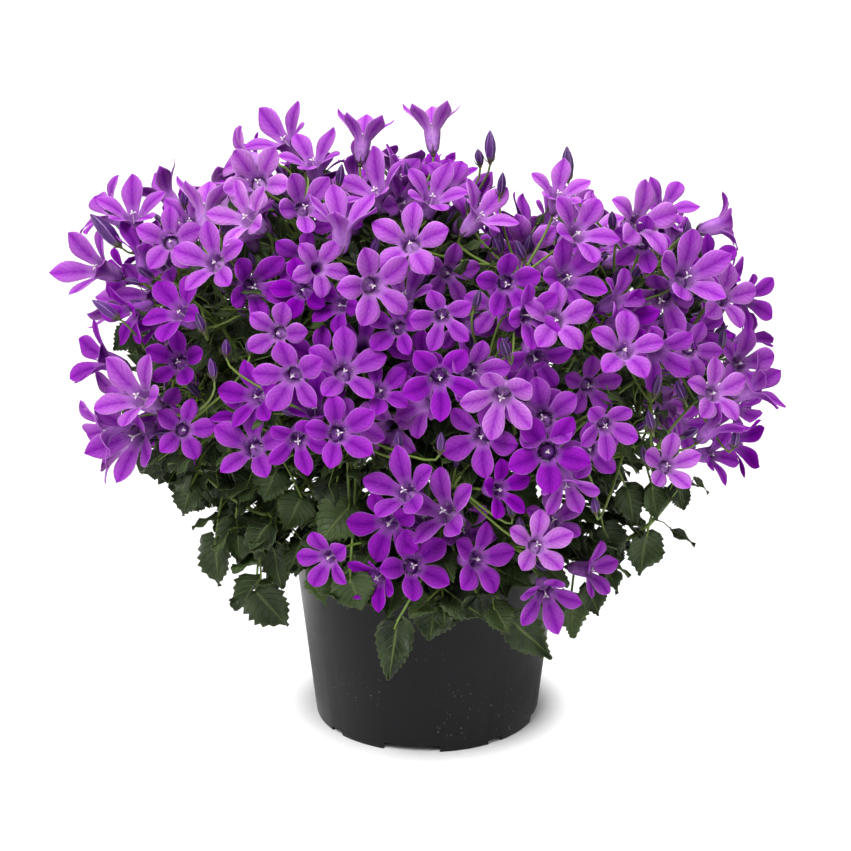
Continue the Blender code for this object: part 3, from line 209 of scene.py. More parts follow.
# %% Bells: head, throat, compass turn, tilt, roll, radius, joint along the stalk
BELLS = [
    (35, -151.2, 29, 243.2, 176, 33, 96, 17.1, 23.4), (35, -121.9, 5.4, 258.9, 164, 52, 108, 14, 22.2),
    (1, -135.3, -13.5, 253.5, -94, 74, 8, 16.6, 23.4), (9, 135.6, -16.4, 250.1, -1, 16, -80, 14.7, 23.4),
    (14, -83.6, -23.2, 282.8, -153, 24, 46, 17.3, 23.4),
    (1, -152.4, -13.3, 228.5, -135, 28, 52, 17.6, 23.4),
    (14, -65.7, 7, 283.6, -131, 54, 66, 17.3, 22.6), (21, -100, -42.5, 265.7, 68, 80, -158, 15.3, 23.4),
    (14, -76, -41.2, 277.5, -95, 33, 42, 16.2, 23.4), (1, -115.9, -45.8, 251.2, -102, 36, 7, 15.3, 23.4),
    (9, 108.6, -24.1, 260.9, -60, 49, -48, 14, 23.4), (14, -51.8, -21, 280.9, -92, 68, -42, 15.3, 21.3),
    (28, -29, -22.3, 292.8, 89, 77, -179, 14, 23.4), (28, 2.3, -14.6, 295.5, 111, 75, 159, 14, 23.4),
    (24, 95.4, -51, 261.6, -52, 36, -24, 17.9, 23.4), (1, -130, -26.9, 240.3, -126, 68, 12, 14, 23.4),
    (22, 146.8, -31.7, 218.8, -39, 11, -56, 14.7, 23.4), (1, -107.7, -33.1, 256.4, -88, 45, -20, 14, 23.4),
    (21, -80.3, -57.7, 265.4, -119, 40, 29, 16.9, 23.4), (5, 58.4, -53.8, 275, -94, 70, 4, 14, 23.4),
    (9, 130.3, -20.6, 231.6, -46, 39, -74, 14, 22.3), (1, -142.5, 8.3, 217.3, -168, 11, 5, 14, 21.1),
    (22, 134.2, -46.5, 224.5, -61, 16, -20, 15.4, 23.4), (24, 116.3, -57, 237.7, -83, 28, 2, 18.9, 23.4),
    (14, -54.7, -58.2, 270.5, -83, 34, 31, 15.1, 22.1), (1, -120.4, -25.2, 234.2, -118, 36, -60, 14, 22.1),
    (1, -136, -30, 211.7, -147, 0, 18, 15.4, 18.6), (28, -13, -29.2, 275.7, -2, 67, -98, 15.2, 22.5),
    (21, -94.8, -67.4, 247.9, -112, 22, 14, 17.3, 23.4), (5, 66.9, -68.5, 261.7, -71, 34, 36, 17.7, 23.4),
    (28, -22.7, -42.8, 273, -123, 53, 20, 17.8, 21.3), (28, 2.2, -46.4, 271.3, -66, 59, -42, 15.1, 20.3),
    (25, 144.7, 25.4, 208.7, -9, 8, 0, 18, 23.4), (29, -37.1, -72.2, 266.4, -76, 70, 8, 16.8, 23.4),
    (5, 23.4, -59.6, 266.7, -37, 43, -70, 15.9, 22.6), (21, -111.6, -61.1, 222.6, -134, 25, 55, 17, 21.8),
    (32, -98.5, 52.2, 245.4, 162, 48, -42, 15.3, 23.4), (1, -129.4, -10, 215.8, -136, 32, -24, 14, 12.7),
    (21, -78.1, -62.6, 234.7, -82, 17, -35, 16.8, 21), (22, 145.2, -28, 187, -53, 31, -27, 16.4, 22.5),
    (32, -55.1, 45.6, 256, 108, 57, -56, 16.7, 19.3), (5, 62, -75.9, 243.1, -77, 24, 23, 16.7, 20.9),
    (30, -145.5, 36.7, 195.7, -178, 28, 37, 18.1, 23.4), (22, 152.2, -32.6, 176.2, -6, 13, -91, 15.6, 22.5),
    (24, 96.7, -47, 250.3, -114, 14, -8, 14, 23.4), (29, -7.5, -81.2, 260.9, -87, 18, -6, 17.6, 23.4),
    (24, 107, -38.7, 221.6, -91, 9, 4, 18, 21.2), (31, -151.6, -15.4, 184.3, -162, 11, -133, 16.9, 23.4),
    (5, 34.9, -83.6, 242.8, -92, 20, 6, 14.9, 18.3), (23, 108.9, 22.1, 236, -2, 37, -40, 17.2, 23.4),
    (29, -23.6, -95.2, 245.5, -81, 16, 16, 17.9, 23.4),
    (15, -147.2, -56.6, 164.4, -144, -13, -28, 17.4, 23.4),
    (15, -129.7, -71.5, 185.7, -122, 23, 54, 18.9, 23.4),
    (19, 56.4, -98.1, 230.8, -62, 28, -14, 16.6, 23.4),
    (36, 129.3, -70, 187.1, -71, 30, -5, 15.3, 23.4), (19, 44.1, -100, 233.7, -37, 26, -64, 14.8, 23.4),
    (24, 87.3, -91.9, 214.9, -83, 28, 62, 16.8, 16.8), (28, -10.4, -37.5, 266.8, -72, 35, -40, 14, 18.2),
    (11, -111.1, 76, 203.6, 154, 8, -141, 16.1, 23.4), (22, 124.6, -37.3, 204.5, -54, 9, -55, 14, 21.3),
    (19, 6.5, -104.3, 234.2, -77, 11, 15, 14.4, 23.4), (15, -133.4, -58.7, 162.3, -115, 14, 37, 19, 21.4),
    (12, -26.1, 73.7, 250.6, 106, 54, -37, 16.7, 23.4), (15, -112.8, -54.7, 196.7, -109, 20, 3, 14, 22.5),
    (6, 88.4, 88.2, 209.4, 59, 14, -9, 17.8, 23.4), (21, -54.6, -58.8, 247.2, -104, 12, -12, 14, 18.2),
    (19, 47.9, -88, 209.4, -74, -3, 1, 16.6, 19.5), (2, 149.2, 26.9, 159.6, 0, -6, 60, 15.3, 23.4),
    (23, 58.7, -2.7, 247.6, -39, 69, -88, 16, 23.1), (22, 119.7, -50.2, 200.8, -78, 15, -24, 14, 20.3),
    (7, -150.4, 36.2, 146.4, 155, -10, -95, 17.2, 23.4), (36, 131.2, -54.9, 151.8, -17, 7, -50, 14.5, 20),
    (10, -59, -108, 208.3, -98, 21, 10, 16.6, 23.4), (15, -110.1, -71.4, 169.9, -85, 16, -16, 14.3, 18),
    (10, -36.2, -98.5, 207.5, -92, 31, 3, 18.3, 22), (10, -76.4, -85, 190.7, -128, 36, 25, 15.8, 18.7),
    (36, 131, -65.3, 170, -19, 35, -82, 14, 23.4), (19, 30.8, -74.2, 229.4, -104, 27, 7, 14, 20.9),
    (10, -65.9, -87.1, 221.2, -91, 21, -20, 14, 23.4), (19, 19.9, -100.7, 207.8, -71, 17, -11, 14.8, 18.9),
    (17, -11.5, 32.8, 260.7, 102, 71, -130, 18.2, 23.4), (23, 76.6, -0.3, 244.5, -10, 69, 152, 16.8, 23.4),
    (19, 5.6, -107.4, 207.1, -82, 17, 35, 17.4, 17.9), (24, 88.4, -63.9, 218.7, -56, 19, -12, 14.4, 12.2),
    (6, 67.3, 66, 231, 65, 44, 57, 15.6, 23.4), (21, -55.3, -68.6, 235.3, -96, 40, -56, 14, 9.8),
    (10, -20.5, -98.1, 198.1, -91, 35, 22, 14, 13.1), (23, 80, 30, 232.3, 28, 37, -31, 18.1, 21.4),
    (19, 32.6, -111.2, 200.1, -90, 8, 18, 17.4, 22.4), (8, 78.2, -107.2, 185.2, -73, 14, -36, 14, 23.4),
    (10, -49.8, -95.7, 188, -76, 41, -17, 14.8, 17), (29, -13.2, -92.4, 225.6, -113, 22, 4, 14, 20.8),
    (36, 107.5, -88.4, 158.9, -78, 27, -7, 14, 22), (29, 9.3, -59.1, 240.2, -70, 8, -14, 14, 18.1),
    (8, 51.5, -95.9, 184.4, -96, 36, 13, 17.5, 19.4), (2, 146.9, -11.2, 141.1, 2, -10, -41, 15.3, 23.4),
    (15, -121.5, -45.3, 170, -90, 2, -32, 14, 17.7), (10, -77.9, -90, 168.7, -107, 25, 2, 17.6, 8.3),
    (7, -148.1, -1.1, 135.2, 166, -14, -104, 17.7, 23.4), (10, -48, -77.4, 204.8, -104, 30, -3, 15, 12.1),
    (33, 20.2, 76.3, 235.5, 75, 37, -32, 15.3, 23.4), (26, -62.3, 93.2, 207.3, 130, 19, 155, 18, 23.4),
    (29, -38.7, -76, 230.6, -131, 31, -13, 14, 19.9), (12, -24, 99.3, 212.8, 99, 45, 54, 17.5, 20.1),
    (10, -56.9, -107.1, 178.2, -89, 4, 49, 14.9, 22.9), (34, 112.2, 77.8, 166.6, 27, 12, 59, 16.5, 23.4),
    (10, -38.8, -114.5, 184.2, -94, 29, 18, 16.6, 21.2), (29, -9.8, -72.7, 234.1, -70, 56, -57, 14, 16.5),
    (10, -83, -73.6, 178.7, -126, 29, -16, 14, 7.4), (16, -107.1, 86.9, 159.3, 144, 10, -102, 15.7, 23.4),
    (17, 18.6, 12.6, 247.2, 31, 56, 44, 15.4, 21.1), (27, 23.9, -102.5, 178, -99, 7, 47, 17.4, 23.4),
    (8, 53.3, -108.3, 173.1, -96, 23, -32, 18.4, 22.9), (20, 52, 101.1, 196.3, 75, 46, 131, 15.8, 23.4),
    (19, 43.9, -83.5, 190.7, -94, 16, -29, 17.6, 5), (16, -117.5, 66.9, 127.9, 147, -15, -146, 17.4, 22),
    (8, 61.6, -105.7, 157.1, -70, -20, -1, 14.1, 21.9), (8, 72.7, -67.8, 189.9, -90, 18, 0, 14, 15.4),
    (13, 119.4, 68.9, 119.9, 37, -19, -56, 15.9, 23.4), (10, -33, -99.7, 183, -76, 24, -46, 14, 11.5),
    (19, 36.7, -79.9, 202.2, -65, 23, -60, 14, 5), (6, 48.9, 30.3, 232.4, 12, 54, 152, 17.8, 18.7),
    (6, 43.3, 51.6, 224.9, 57, 54, -80, 15.8, 19.5), (26, -61.5, 86.3, 161.2, 105, -8, -83, 16.8, 19.7),
    (27, -9.7, -112.3, 155.9, -106, 23, 14, 17.5, 19), (8, 72.8, -89.3, 166.9, -82, 15, -63, 14, 18),
    (20, 51.6, 90.9, 151.8, 90, -6, 115, 16, 20.7), (4, 12.2, 101.1, 184.6, 70, 11, -27, 17.5, 23.4),
    (26, -29.9, 99.8, 175.7, 112, 24, 97, 15.5, 22.1), (27, 7.9, -104.9, 143.2, -104, 37, 9, 19, 8.1),
    (27, 32.3, -106.6, 154.4, -69, 4, -1, 14, 21.2), (18, 49, -108.1, 128.7, -76, 20, -8, 15.2, 23.4),
    (18, 57.2, -81.1, 129.6, -60, 31, -6, 14, 21.3), (26, -55.9, 100.3, 130.6, 129, -28, -123, 18.3, 14.2),
    (18, 74.8, -69.8, 100.7, -29, -2, -17, 14, 18.1), (3, -44.3, -104.9, 121.1, -104, 15, 14, 14, 23.4),
    (3, -17.4, -91.4, 132.1, -123, 0, 17, 17.8, 22), (18, 22.8, -100.7, 118.7, -53, 10, -20, 17, 18.6),
    (20, 61.3, 89.8, 119.7, 69, -18, 22, 17.4, 9.9), (4, -8.2, 102.1, 143.2, 90, -11, 81, 17, 20.4),
    (3, -6.3, -94.6, 113, -85, 22, 23, 17, 21), (3, -22.1, -89, 105.2, -116, -13, -15, 14, 19.3),
    (18, 53.9, -86.3, 96, -84, -7, -16, 15.5, 20.6), (3, -1.4, -75.8, 128.5, -93, 58, 3, 14, 9.9),
    (3, 15.7, -78.7, 123.6, -67, 28, -42, 14, 8),
]

# %% Buds: head, base, tip, width, joint along the stalk
BUDS = [
    (17, 28.5, -30.2, 283.8, 28.4, -28.2, 298.1, 4.3, 23.4),
    (9, 64.1, -24.8, 273.8, 63.5, -22.5, 289.1, 4.6, 21),
    (5, 32.5, -52.8, 274.7, 33.8, -52.2, 285.1, 3.4, 23.4),
    (35, -141.2, -19.8, 241, -154.6, -17.6, 255.7, 6, 23.4),
    (31, -140.7, -44.3, 214.2, -152.3, -44.3, 222.8, 4.3, 23.4),
    (21, -91.9, -53.7, 256.4, -89, -53.4, 266, 3.4, 23.4),
    (1, -99.3, -77.4, 218.5, -102.6, -77.2, 227.8, 3.4, 11.3),
    (15, -94.6, -88, 200.5, -96.1, -87.8, 209.8, 3.4, 23.4),
    (14, -39.9, -47.3, 277.3, -38, -46.8, 287.4, 3.4, 23.4),
    (28, -7.8, -22.1, 272.1, -9.6, -21.9, 281.5, 3.4, 23.4),
    (5, 18.3, -52.5, 267.7, 20, -52.3, 276.9, 3.4, 23.4),
    (14, -24.5, -66.3, 250.4, -21.8, -66.1, 259.6, 3.4, 5),
    (28, 32.5, -65.1, 250.5, 29.7, -65.1, 259.3, 3.4, 13.2),
    (24, 42.9, -74.9, 251.2, 39.2, -74.8, 260.3, 3.4, 22.2),
    (19, 20.5, -95.8, 235.6, 23.1, -95.9, 243.9, 3.4, 23.4),
    (5, 35.3, -108.6, 216.8, 32.6, -108.4, 226, 3.4, 13.4),
    (27, 37.9, -102.7, 140.4, 36, -102.7, 149.1, 3.4, 22.8),
    (24, 101.5, -86, 191.3, 103.1, -85.5, 201.5, 3.4, 14.8),
    (22, 115.6, -73.7, 185, 111.7, -73.4, 194.5, 3.4, 18.6),
    (22, 100.2, -91.2, 177, 98.2, -90.9, 186.4, 3.4, 5.5),
    (22, 99.2, -85.8, 158.8, 96.3, -85.8, 167.5, 3.4, 5),
    (22, 133.8, -45.5, 200.2, 135.3, -45.2, 209.7, 3.4, 23.4),
    (22, 139.8, -60.3, 157.5, 141.3, -59.9, 167.1, 3.4, 19.3),
    (35, -110.5, -28.5, 262.6, -110.3, -29, 270.3, 3.4, 23.4),
    (1, -89, -44.1, 251.2, -87.9, -44.2, 259.7, 3.4, 22.6),
    (15, -78.7, -83.2, 210.6, -78.5, -83.6, 218.2, 3.4, 20.5),
    (10, -89.3, -83.3, 209.7, -89.1, -83.7, 217.3, 3.4, 23.4),
    (17, 23.9, -32.6, 283, 22.9, -33, 290.6, 3.4, 23.4),
    (9, 83.5, -41.6, 255.6, 83.4, -41.7, 264.1, 3.4, 21.7),
    (9, 118, -36.4, 249.8, 118.2, -36.6, 257.9, 3.4, 23.4),
    (10, -12.9, -104.6, 173, -12.8, -104.7, 181.5, 3.4, 10),
    (10, 5.7, -114.1, 175.2, 6.1, -113.9, 184.4, 3.4, 10.8),
    (36, 75.3, -102.2, 141.7, 74.3, -102.5, 149.5, 3.4, 5),
    (27, 42, -103.3, 132.5, 41, -103.7, 140.3, 3.4, 20.5),
]

# %% Leaves: stem, base, tip, roll, width, joint on the stem, bend of the leaf stalk if it has one
LEAVES = [
    (1, -100, -23.9, 97.9, -102.1, -29.2, 74.5, 9, 16.2, -96, -15, 119, -98, -20, 112),
    (1, -90.1, -28.1, 109.8, -87.9, -32.6, 88.7, 13, 16.2, -89, -19, 114, -89, -24, 117),
    (1, -81.2, -30.5, 74, -68, -34.4, 54.5, 91, 20.9, -76, -24, 111, -79, -28, 96),
    (1, -73.6, -39, 103.1, -67.2, -44, 80.7, 73, 17.1, -72, -24, 112, -73, -32, 112),
    (1, -111.1, -18.9, 123.4, -118, -21.2, 108.1, -38, 14.3, -104, -11, 123, -108, -15, 128),
    (1, -70.2, -39, 138.2, -77.8, -41.3, 123.1, -47, 16.2, -79, -33, 150, -74, -36, 149),
    (1, -58, -47.2, 127.4, -66.9, -49.5, 112.3, -53, 16.2, -75, -30, 146, -66, -39, 141),
    (7, -41.2, -63.3, 141.5, -45.4, -65.9, 125.8, -43, 18.1, -34, -63, 163, -38, -63, 156),
    (7, -35.4, -78.3, 135.6, -48.7, -80.9, 119.6, -66, 19, -36, -67, 166, -36, -73, 154),
    (7, -35, -89.3, 105.3, -30.5, -92.1, 88.8, 65, 17.1, -32, -59, 161, -33, -76, 135),
    (8, -13.6, -99.9, 87.8, -17.3, -106.3, 61.4, -26, 14.8, 8, -66, 137, 3, -85, 115),
    (8, 4.1, -85.5, 92.4, 1.4, -89.1, 73.6, -37, 20, 8, -63, 134, 6, -75, 116),
    (3, 38.5, -81, 81.5, 57, -85, 61.7, 88, 15.7, 27, -51, 112, 26, -68, 100),
    (5, 67.5, -48.3, 77.5, 70.5, -52.3, 57.8, 14, 13.3, 74, -30, 98, 70, -40, 93),
    (5, 104.6, -19.5, 98.2, 101.5, -23.6, 78.3, -66, 18.1, 111, -15, 108, 107, -18, 108),
    (5, 94, -21.4, 122.4, 100.8, -24.7, 104.4, 32, 14.3, 74, -23, 157, 85, -22, 143),
    (10, 106.5, -17.3, 121.8, 109.6, -20.2, 105.1, 14, 12.4, 96, 6, 140, 102, -7, 135),
    (5, 118.4, -11.4, 120.6, 123.4, -12.8, 107.8, 39, 12.4, 114, -13, 111, 117, -12, 121),
    (5, 82.8, -33.4, 106.9, 91.9, -35.8, 91.6, 46, 15.2, 72, -40, 143, 78, -36, 128),
    (5, 75.3, -49.8, 85.2, 80.6, -52.2, 70, 41, 12.4, 74, -30, 98, 75, -41, 96),
    (1, -137.2, -7.3, 196.2, -147.8, -7.6, 186.5, -53, 12.4, -101, 12, 214, -121, 1, 209),
    (8, 23.2, -90.4, 96.5, 19.6, -91.4, 85, -104, 14.3, 9, -69, 140, 10, -81, 121),
    (1, -98.5, -20.5, 191.6, -114.1, -29.8, 182.8, 5, 17.2, -90, -16, 191),
    (1, -80.8, -47.3, 156.3, -71.1, -63.6, 152.6, 22, 16.4, -84, -38, 154),
    (1, -62, -17.1, 161.3, -72.7, -1.1, 165.5, -5, 16.7, -58, -22, 155),
    (1, -52.8, -31, 203.6, -39.2, -17.8, 207.6, 5, 16.4, -59, -37, 196),
    (1, -97.2, -17.7, 165.8, -95.2, -39.2, 171.9, 21, 19.1, -96, -9, 158),
    (1, -98.8, 20.1, 205, -103.3, 42, 196.4, -10, 20.4, -95, 9, 204),
    (2, 78.2, 32.2, 119.5, 91.2, 15.8, 113.2, -26, 18.6, 70, 39, 119),
    (2, 63.3, 43.6, 150.7, 50.9, 29.8, 164.7, -2, 19.8, 66, 47, 142),
    (3, 27.2, -45.3, 122.2, 29.6, -34.6, 137.1, 17, 15.7, 25, -48, 111),
    (4, 35.1, 24.2, 182.7, 34.6, 0.9, 187.3, -13, 20.2, 34, 34, 175),
    (4, -14.4, 60.5, 180.9, -15, 76.9, 172.3, -7, 15.7, -13, 51, 181),
    (4, 10.5, 15.4, 158.5, 30.1, 3.5, 157, 4, 19.5, 4, 20, 155),
    (4, -4.2, 2.9, 197.9, -11.9, -14.6, 194, 0, 16.6, 1, 15, 194),
    (4, 8, 36.8, 189.6, -2.1, 17.8, 195.7, 2, 19, 11, 43, 183),
    (5, 41.1, -39.4, 209.8, 55.7, -24.5, 214.4, 3, 18.1, 36, -44, 204),
    (5, 54.9, -63, 152.1, 74.9, -70.1, 144, 21, 19.3, 44, -57, 151),
    (5, 72.6, -13.3, 155.8, 87.4, -7, 147.1, 3, 15.6, 60, -18, 156),
    (5, 92.8, -17.8, 199.1, 110.6, -24.3, 189.8, -6, 17.9, 83, -15, 199),
    (5, 90.1, -15, 177.7, 88.4, 5, 181.6, 19, 17.4, 89, -25, 171),
    (5, 53.1, 10.4, 188.2, 56.2, 31.7, 179.5, 2, 19.7, 52, 1, 187),
    (5, 79.6, -30.8, 192, 100.6, -24.7, 184.6, 7, 19.6, 68, -33, 190),
    (5, 86.8, -40.4, 145.3, 101.5, -28.9, 137.6, 26, 17.1, 78, -44, 145),
    (6, -93.1, 0.9, 133.4, -92.7, -17.6, 130, 24, 16, -91, 10, 131),
    (6, -78.2, 40.6, 140.2, -92.9, 29.7, 146.9, 23, 16.6, -69, 44, 131),
    (6, -67.9, 20.6, 139.7, -51.4, 16.5, 152, 0, 17.8, -72, 22, 132),
    (6, -105.2, 31, 158.9, -123.2, 38.1, 144.9, -2, 20.3, -93, 27, 161),
    (7, -45.7, -63.3, 161.1, -64.6, -63, 150.3, -19, 18.5, -33, -62, 162),
    (7, -36.7, -13.1, 228.5, -24.1, 0.5, 231, -7, 15.9, -43, -22, 221),
    (7, 3.6, -34.6, 160.9, 8, -14.4, 172.1, 15, 20, 0, -42, 150),
    (7, 13.3, -70.8, 178.6, 5.3, -87.8, 172.5, -17, 16.8, 16, -60, 177),
    (7, -13.3, -20.9, 221.2, -19.9, -3.9, 220.2, 0, 15.5, -10, -29, 217),
    (7, -3.3, -43.8, 199.2, 15.9, -34.2, 201.1, 6, 18.3, -12, -47, 192),
    (8, -9, -56.4, 110.6, -15.1, -71.1, 94.8, 4, 19.1, -5, -47, 114),
    (8, 17.2, -63.6, 141, 39.6, -57, 142, 17, 19.9, 8, -65, 136),
    (9, 24, 58.3, 142.5, 3.9, 68.2, 144.1, 15, 19.2, 33, 52, 136),
    (10, 100.3, 9.6, 133.3, 113.4, 16.6, 118.6, 13, 17.8, 91, 6, 137),
    (10, 88.3, 15.3, 183.2, 72.9, 4.7, 192.9, -4, 17.8, 93, 19, 174),
    (11, 10.5, 55.3, 139.6, 29.7, 60.1, 131.2, -11, 18.3, -2, 51, 139),
    (11, -21.1, 57.8, 152.4, -1.6, 64.8, 158.9, -14, 18.5, -28, 54, 145),
    (12, -61.5, 50.3, 179.2, -45.1, 53.7, 187.7, -12, 16, -68, 48, 171),
    (12, -61.4, 36.1, 200.9, -82.4, 44.1, 195.6, 0, 19.5, -53, 33, 198),
]

# %% [markdown]
# ### From the tables to places and directions
# A direction is told by its compass turn and its tilt, as on a globe, and a roll says which way across it
# a petal or a blade points. The stems come first, then the heads on their forks, then what grows on the
# heads.

# %% Read the tables
ABOVE = Vector((0.0, 0.0, 1.0))
STEM_RADIUS = 1.7 * MM
FORK_RADIUS = 1.15 * MM
BLOOM_RADIUS = 18.5 * MM
TUBE_LENGTH = 15.0 * MM
PETALS = 5
SECTOR = 360 // PETALS
TRUNK_IN_SOIL = 12.0
TRUNK_UPRIGHT = 10.0
Head = namedtuple("Head", "name foot top")


def flatten(vector, normal):
    """The part of a vector square to the normal, one unit long."""
    return (vector - normal * vector.dot(normal)).normalized()


def rolled(axis, roll):
    """A direction square to an axis, rolled round it from its upper side."""
    return Matrix.Rotation(math.radians(roll), 3, axis) @ flatten(ABOVE, axis)


def points_of(numbers):
    """Points in metres, from numbers in threes."""
    return [Vector(numbers[i:i + 3]) * MM for i in range(0, len(numbers), 3)]


def ring_points(centre, along, across, radius, sides):
    """Points of a ring round an axis, the first one towards "across"."""
    side = along.cross(across)
    turns = [math.tau * i / sides for i in range(sides)]
    return [centre + (across * math.cos(a) + side * math.sin(a)) * radius for a in turns]


def joint_at(head, along):
    """The point this far up a head's stalk."""
    return head.foot + (head.top - head.foot).normalized() * along


# %% Stems, heads and all they carry
stems, heads, bells, buds, leaves = [], [], [], [], []
for i, (x, y, *fork) in enumerate(STEMS):
    ground = Vector((x * MM, y * MM, SOIL_TOP))
    trunk = [ground - ABOVE * TRUNK_IN_SOIL * MM, ground + ABOVE * TRUNK_UPRIGHT * MM, Vector(fork) * MM]
    stems.append((f"leafy_stem_{i + 1:02d}", [trunk]))
for i, (stem, *numbers) in enumerate(HEADS):
    knee, foot, top = points_of(numbers)
    heads.append(Head(f"flower_head_{i + 1:02d}", foot, top))
    routes = stems[stem - 1][1]
    routes.append([routes[0][2], knee, foot])
for stem, *numbers in SIDE_SHOOTS:
    stems[stem - 1][1].append(points_of(numbers))
for number, x, y, z, turn, tilt, roll, radius, along in BELLS:
    head = heads[number - 1]
    turn, tilt = math.radians(turn), math.radians(tilt)
    facing = Vector((math.cos(turn) * math.cos(tilt), math.sin(turn) * math.cos(tilt), math.sin(tilt)))
    joint = joint_at(head, along * MM)
    bells.append((head.name, Vector((x, y, z)) * MM, facing, rolled(facing, roll), radius * MM, joint))
for number, *ends, width, along in BUDS:
    head = heads[number - 1]
    buds.append((head.name, *points_of(ends), width * MM, joint_at(head, along * MM)))
for stem, *numbers in LEAVES:
    (base, tip), (roll, width), stops = points_of(numbers[:6]), numbers[6:8], points_of(numbers[8:])
    up = rolled((tip - base).normalized(), roll)
    leaves.append((stems[stem - 1][0], base, tip, up, width * MM, stops))
print(len(bells), "bells,", len(buds), "buds,", len(leaves), "leaves,", len(stems), "stems")

# %% [markdown]
# ### The dome and the picture
# The blooms in front lie on a dome, and so do those behind. What is added later, deep in the plant, has
# to stay under that dome, and between the plant's top line and its lower line in the picture.

# %% The dome of blooms
CANOPY_MIDDLE_ROW = 388.0
CANOPY_HALF_WIDTH = 356.0
CANOPY_RISE = 294.0
CANOPY_DROP = 235.0
CANOPY_DEPTH = 126.0 * MM
CANOPY_EDGE_DEPTH = 6.0 * MM
CANOPY_POWER = 2.6
REAR_CENTRE = Vector((0.0, 0.0, 168.0 * MM))
REAR_RADII = Vector((156.0 * MM, 106.0 * MM, 112.0 * MM))
REAR_MARGIN = 24.0
# The top line of the plant and the lower line of its dense part: column, row
SKYLINE = [
    (60, 300), (80, 230), (120, 195), (200, 195),
    (240, 150), (300, 125), (380, 150), (430, 150), (470, 178),
    (495, 225), (530, 225), (560, 190), (620, 212), (680, 203), (740, 230), (770, 320), (800, 420),
]
LOWER_LINE = [
    (145, 465), (165, 480), (200, 505), (245, 505),
    (300, 470), (570, 470), (615, 490), (630, 405), (720, 405),
]


# %% From a pixel to the plant and back
def from_view(column, row, depth):
    """The point seen at a pixel, this far in front of the plant's middle."""
    step = METRES_PER_PIXEL * (1.0 - depth / VIEW_DISTANCE)
    across = RIGHT * (column - PICTURE_MIDDLE) * step
    upward = UP * (PICTURE_MIDDLE - row) * step
    return VIEW_POINT + across + upward + TOWARD * depth


def canopy_depth(column, row):
    """How far in front of the plant's middle the canopy's surface is at a pixel."""
    across = abs(column - PICTURE_MIDDLE) / CANOPY_HALF_WIDTH
    height = CANOPY_MIDDLE_ROW - row
    along = abs(height) / (CANOPY_RISE if height > 0 else CANOPY_DROP)
    reach = across ** CANOPY_POWER + along ** CANOPY_POWER
    edge = reach ** (1.0 / CANOPY_POWER)
    return CANOPY_EDGE_DEPTH + CANOPY_DEPTH * math.sqrt(max(0.0, 1.0 - edge * edge))


def seen_at(point):
    """The pixel that a point is seen at."""
    way = point - VIEW_POINT
    step = METRES_PER_PIXEL * (1.0 - way.dot(TOWARD) / VIEW_DISTANCE)
    return PICTURE_MIDDLE + way.dot(RIGHT) / step, PICTURE_MIDDLE - way.dot(UP) / step


def row_on(line, column):
    """The row of a line of the picture at a column."""
    for (left, row), (right, next_row) in zip(line, line[1:]):
        if column <= right:
            share = max(0.0, (column - left) / (right - left))
            return row + (next_row - row) * share
    return line[-1][1]


def on_dome(direction):
    """The point of the dome as seen from its centre in this direction."""
    terms = [abs(direction[i] / REAR_RADII[i]) ** CANOPY_POWER for i in range(3)]
    return REAR_CENTRE + direction * sum(terms) ** (-1.0 / CANOPY_POWER)


front = canopy_depth(PICTURE_MIDDLE, CANOPY_MIDDLE_ROW)
print("the dome stands", round(front / MM), "mm in front of the plant's middle")

# %% [markdown]
# ## From the plan to fine shapes
# Two Geometry Nodes trees grow nearly everything. One turns lines into round stems, the other sets a
# shape from a small collection on each point of a list. Modelling 145 bells by hand would take days, and
# copies that share one mesh would be lost in the export, so both trees end in real, plain meshes.

# %% Helpers for node trees
def add_node(tree, kind, **settings):
    node = tree.nodes.new(kind)
    for name, value in settings.items():
        setattr(node, name, value)
    return node


def named_value(tree, name, kind):
    node = add_node(tree, "GeometryNodeInputNamedAttribute", data_type=kind)
    node.inputs["Name"].default_value = name
    return node.outputs["Attribute"]


def new_tree(name, inputs):
    tree = bpy.data.node_groups.new(name, "GeometryNodeTree")
    for label, kind in inputs:
        tree.interface.new_socket(label, in_out="INPUT", socket_type="NodeSocket" + kind)
    tree.interface.new_socket("Shape", in_out="OUTPUT", socket_type="NodeSocketGeometry")
    return tree, add_node(tree, "NodeGroupInput")


def end_tree(tree, given, geometry):
    """Turn the geometry into real faces, paint them with the finish and hand them out."""
    real = add_node(tree, "GeometryNodeRealizeInstances")
    paint = add_node(tree, "GeometryNodeSetMaterial")
    done = add_node(tree, "NodeGroupOutput")
    tree.links.new(geometry, real.inputs["Geometry"])
    tree.links.new(real.outputs["Geometry"], paint.inputs["Geometry"])
    tree.links.new(given.outputs["Finish"], paint.inputs["Material"])
    tree.links.new(paint.outputs["Geometry"], done.inputs["Shape"])
    print(tree.name + ":", len(tree.nodes), "nodes")


# %% [markdown]
# ### Round stems
# A stem is a line with a width at each point. A ring of a few sides is swept along it. A bevelled curve
# would do the same one stem at a time; the tree does a whole plant's lines at once.

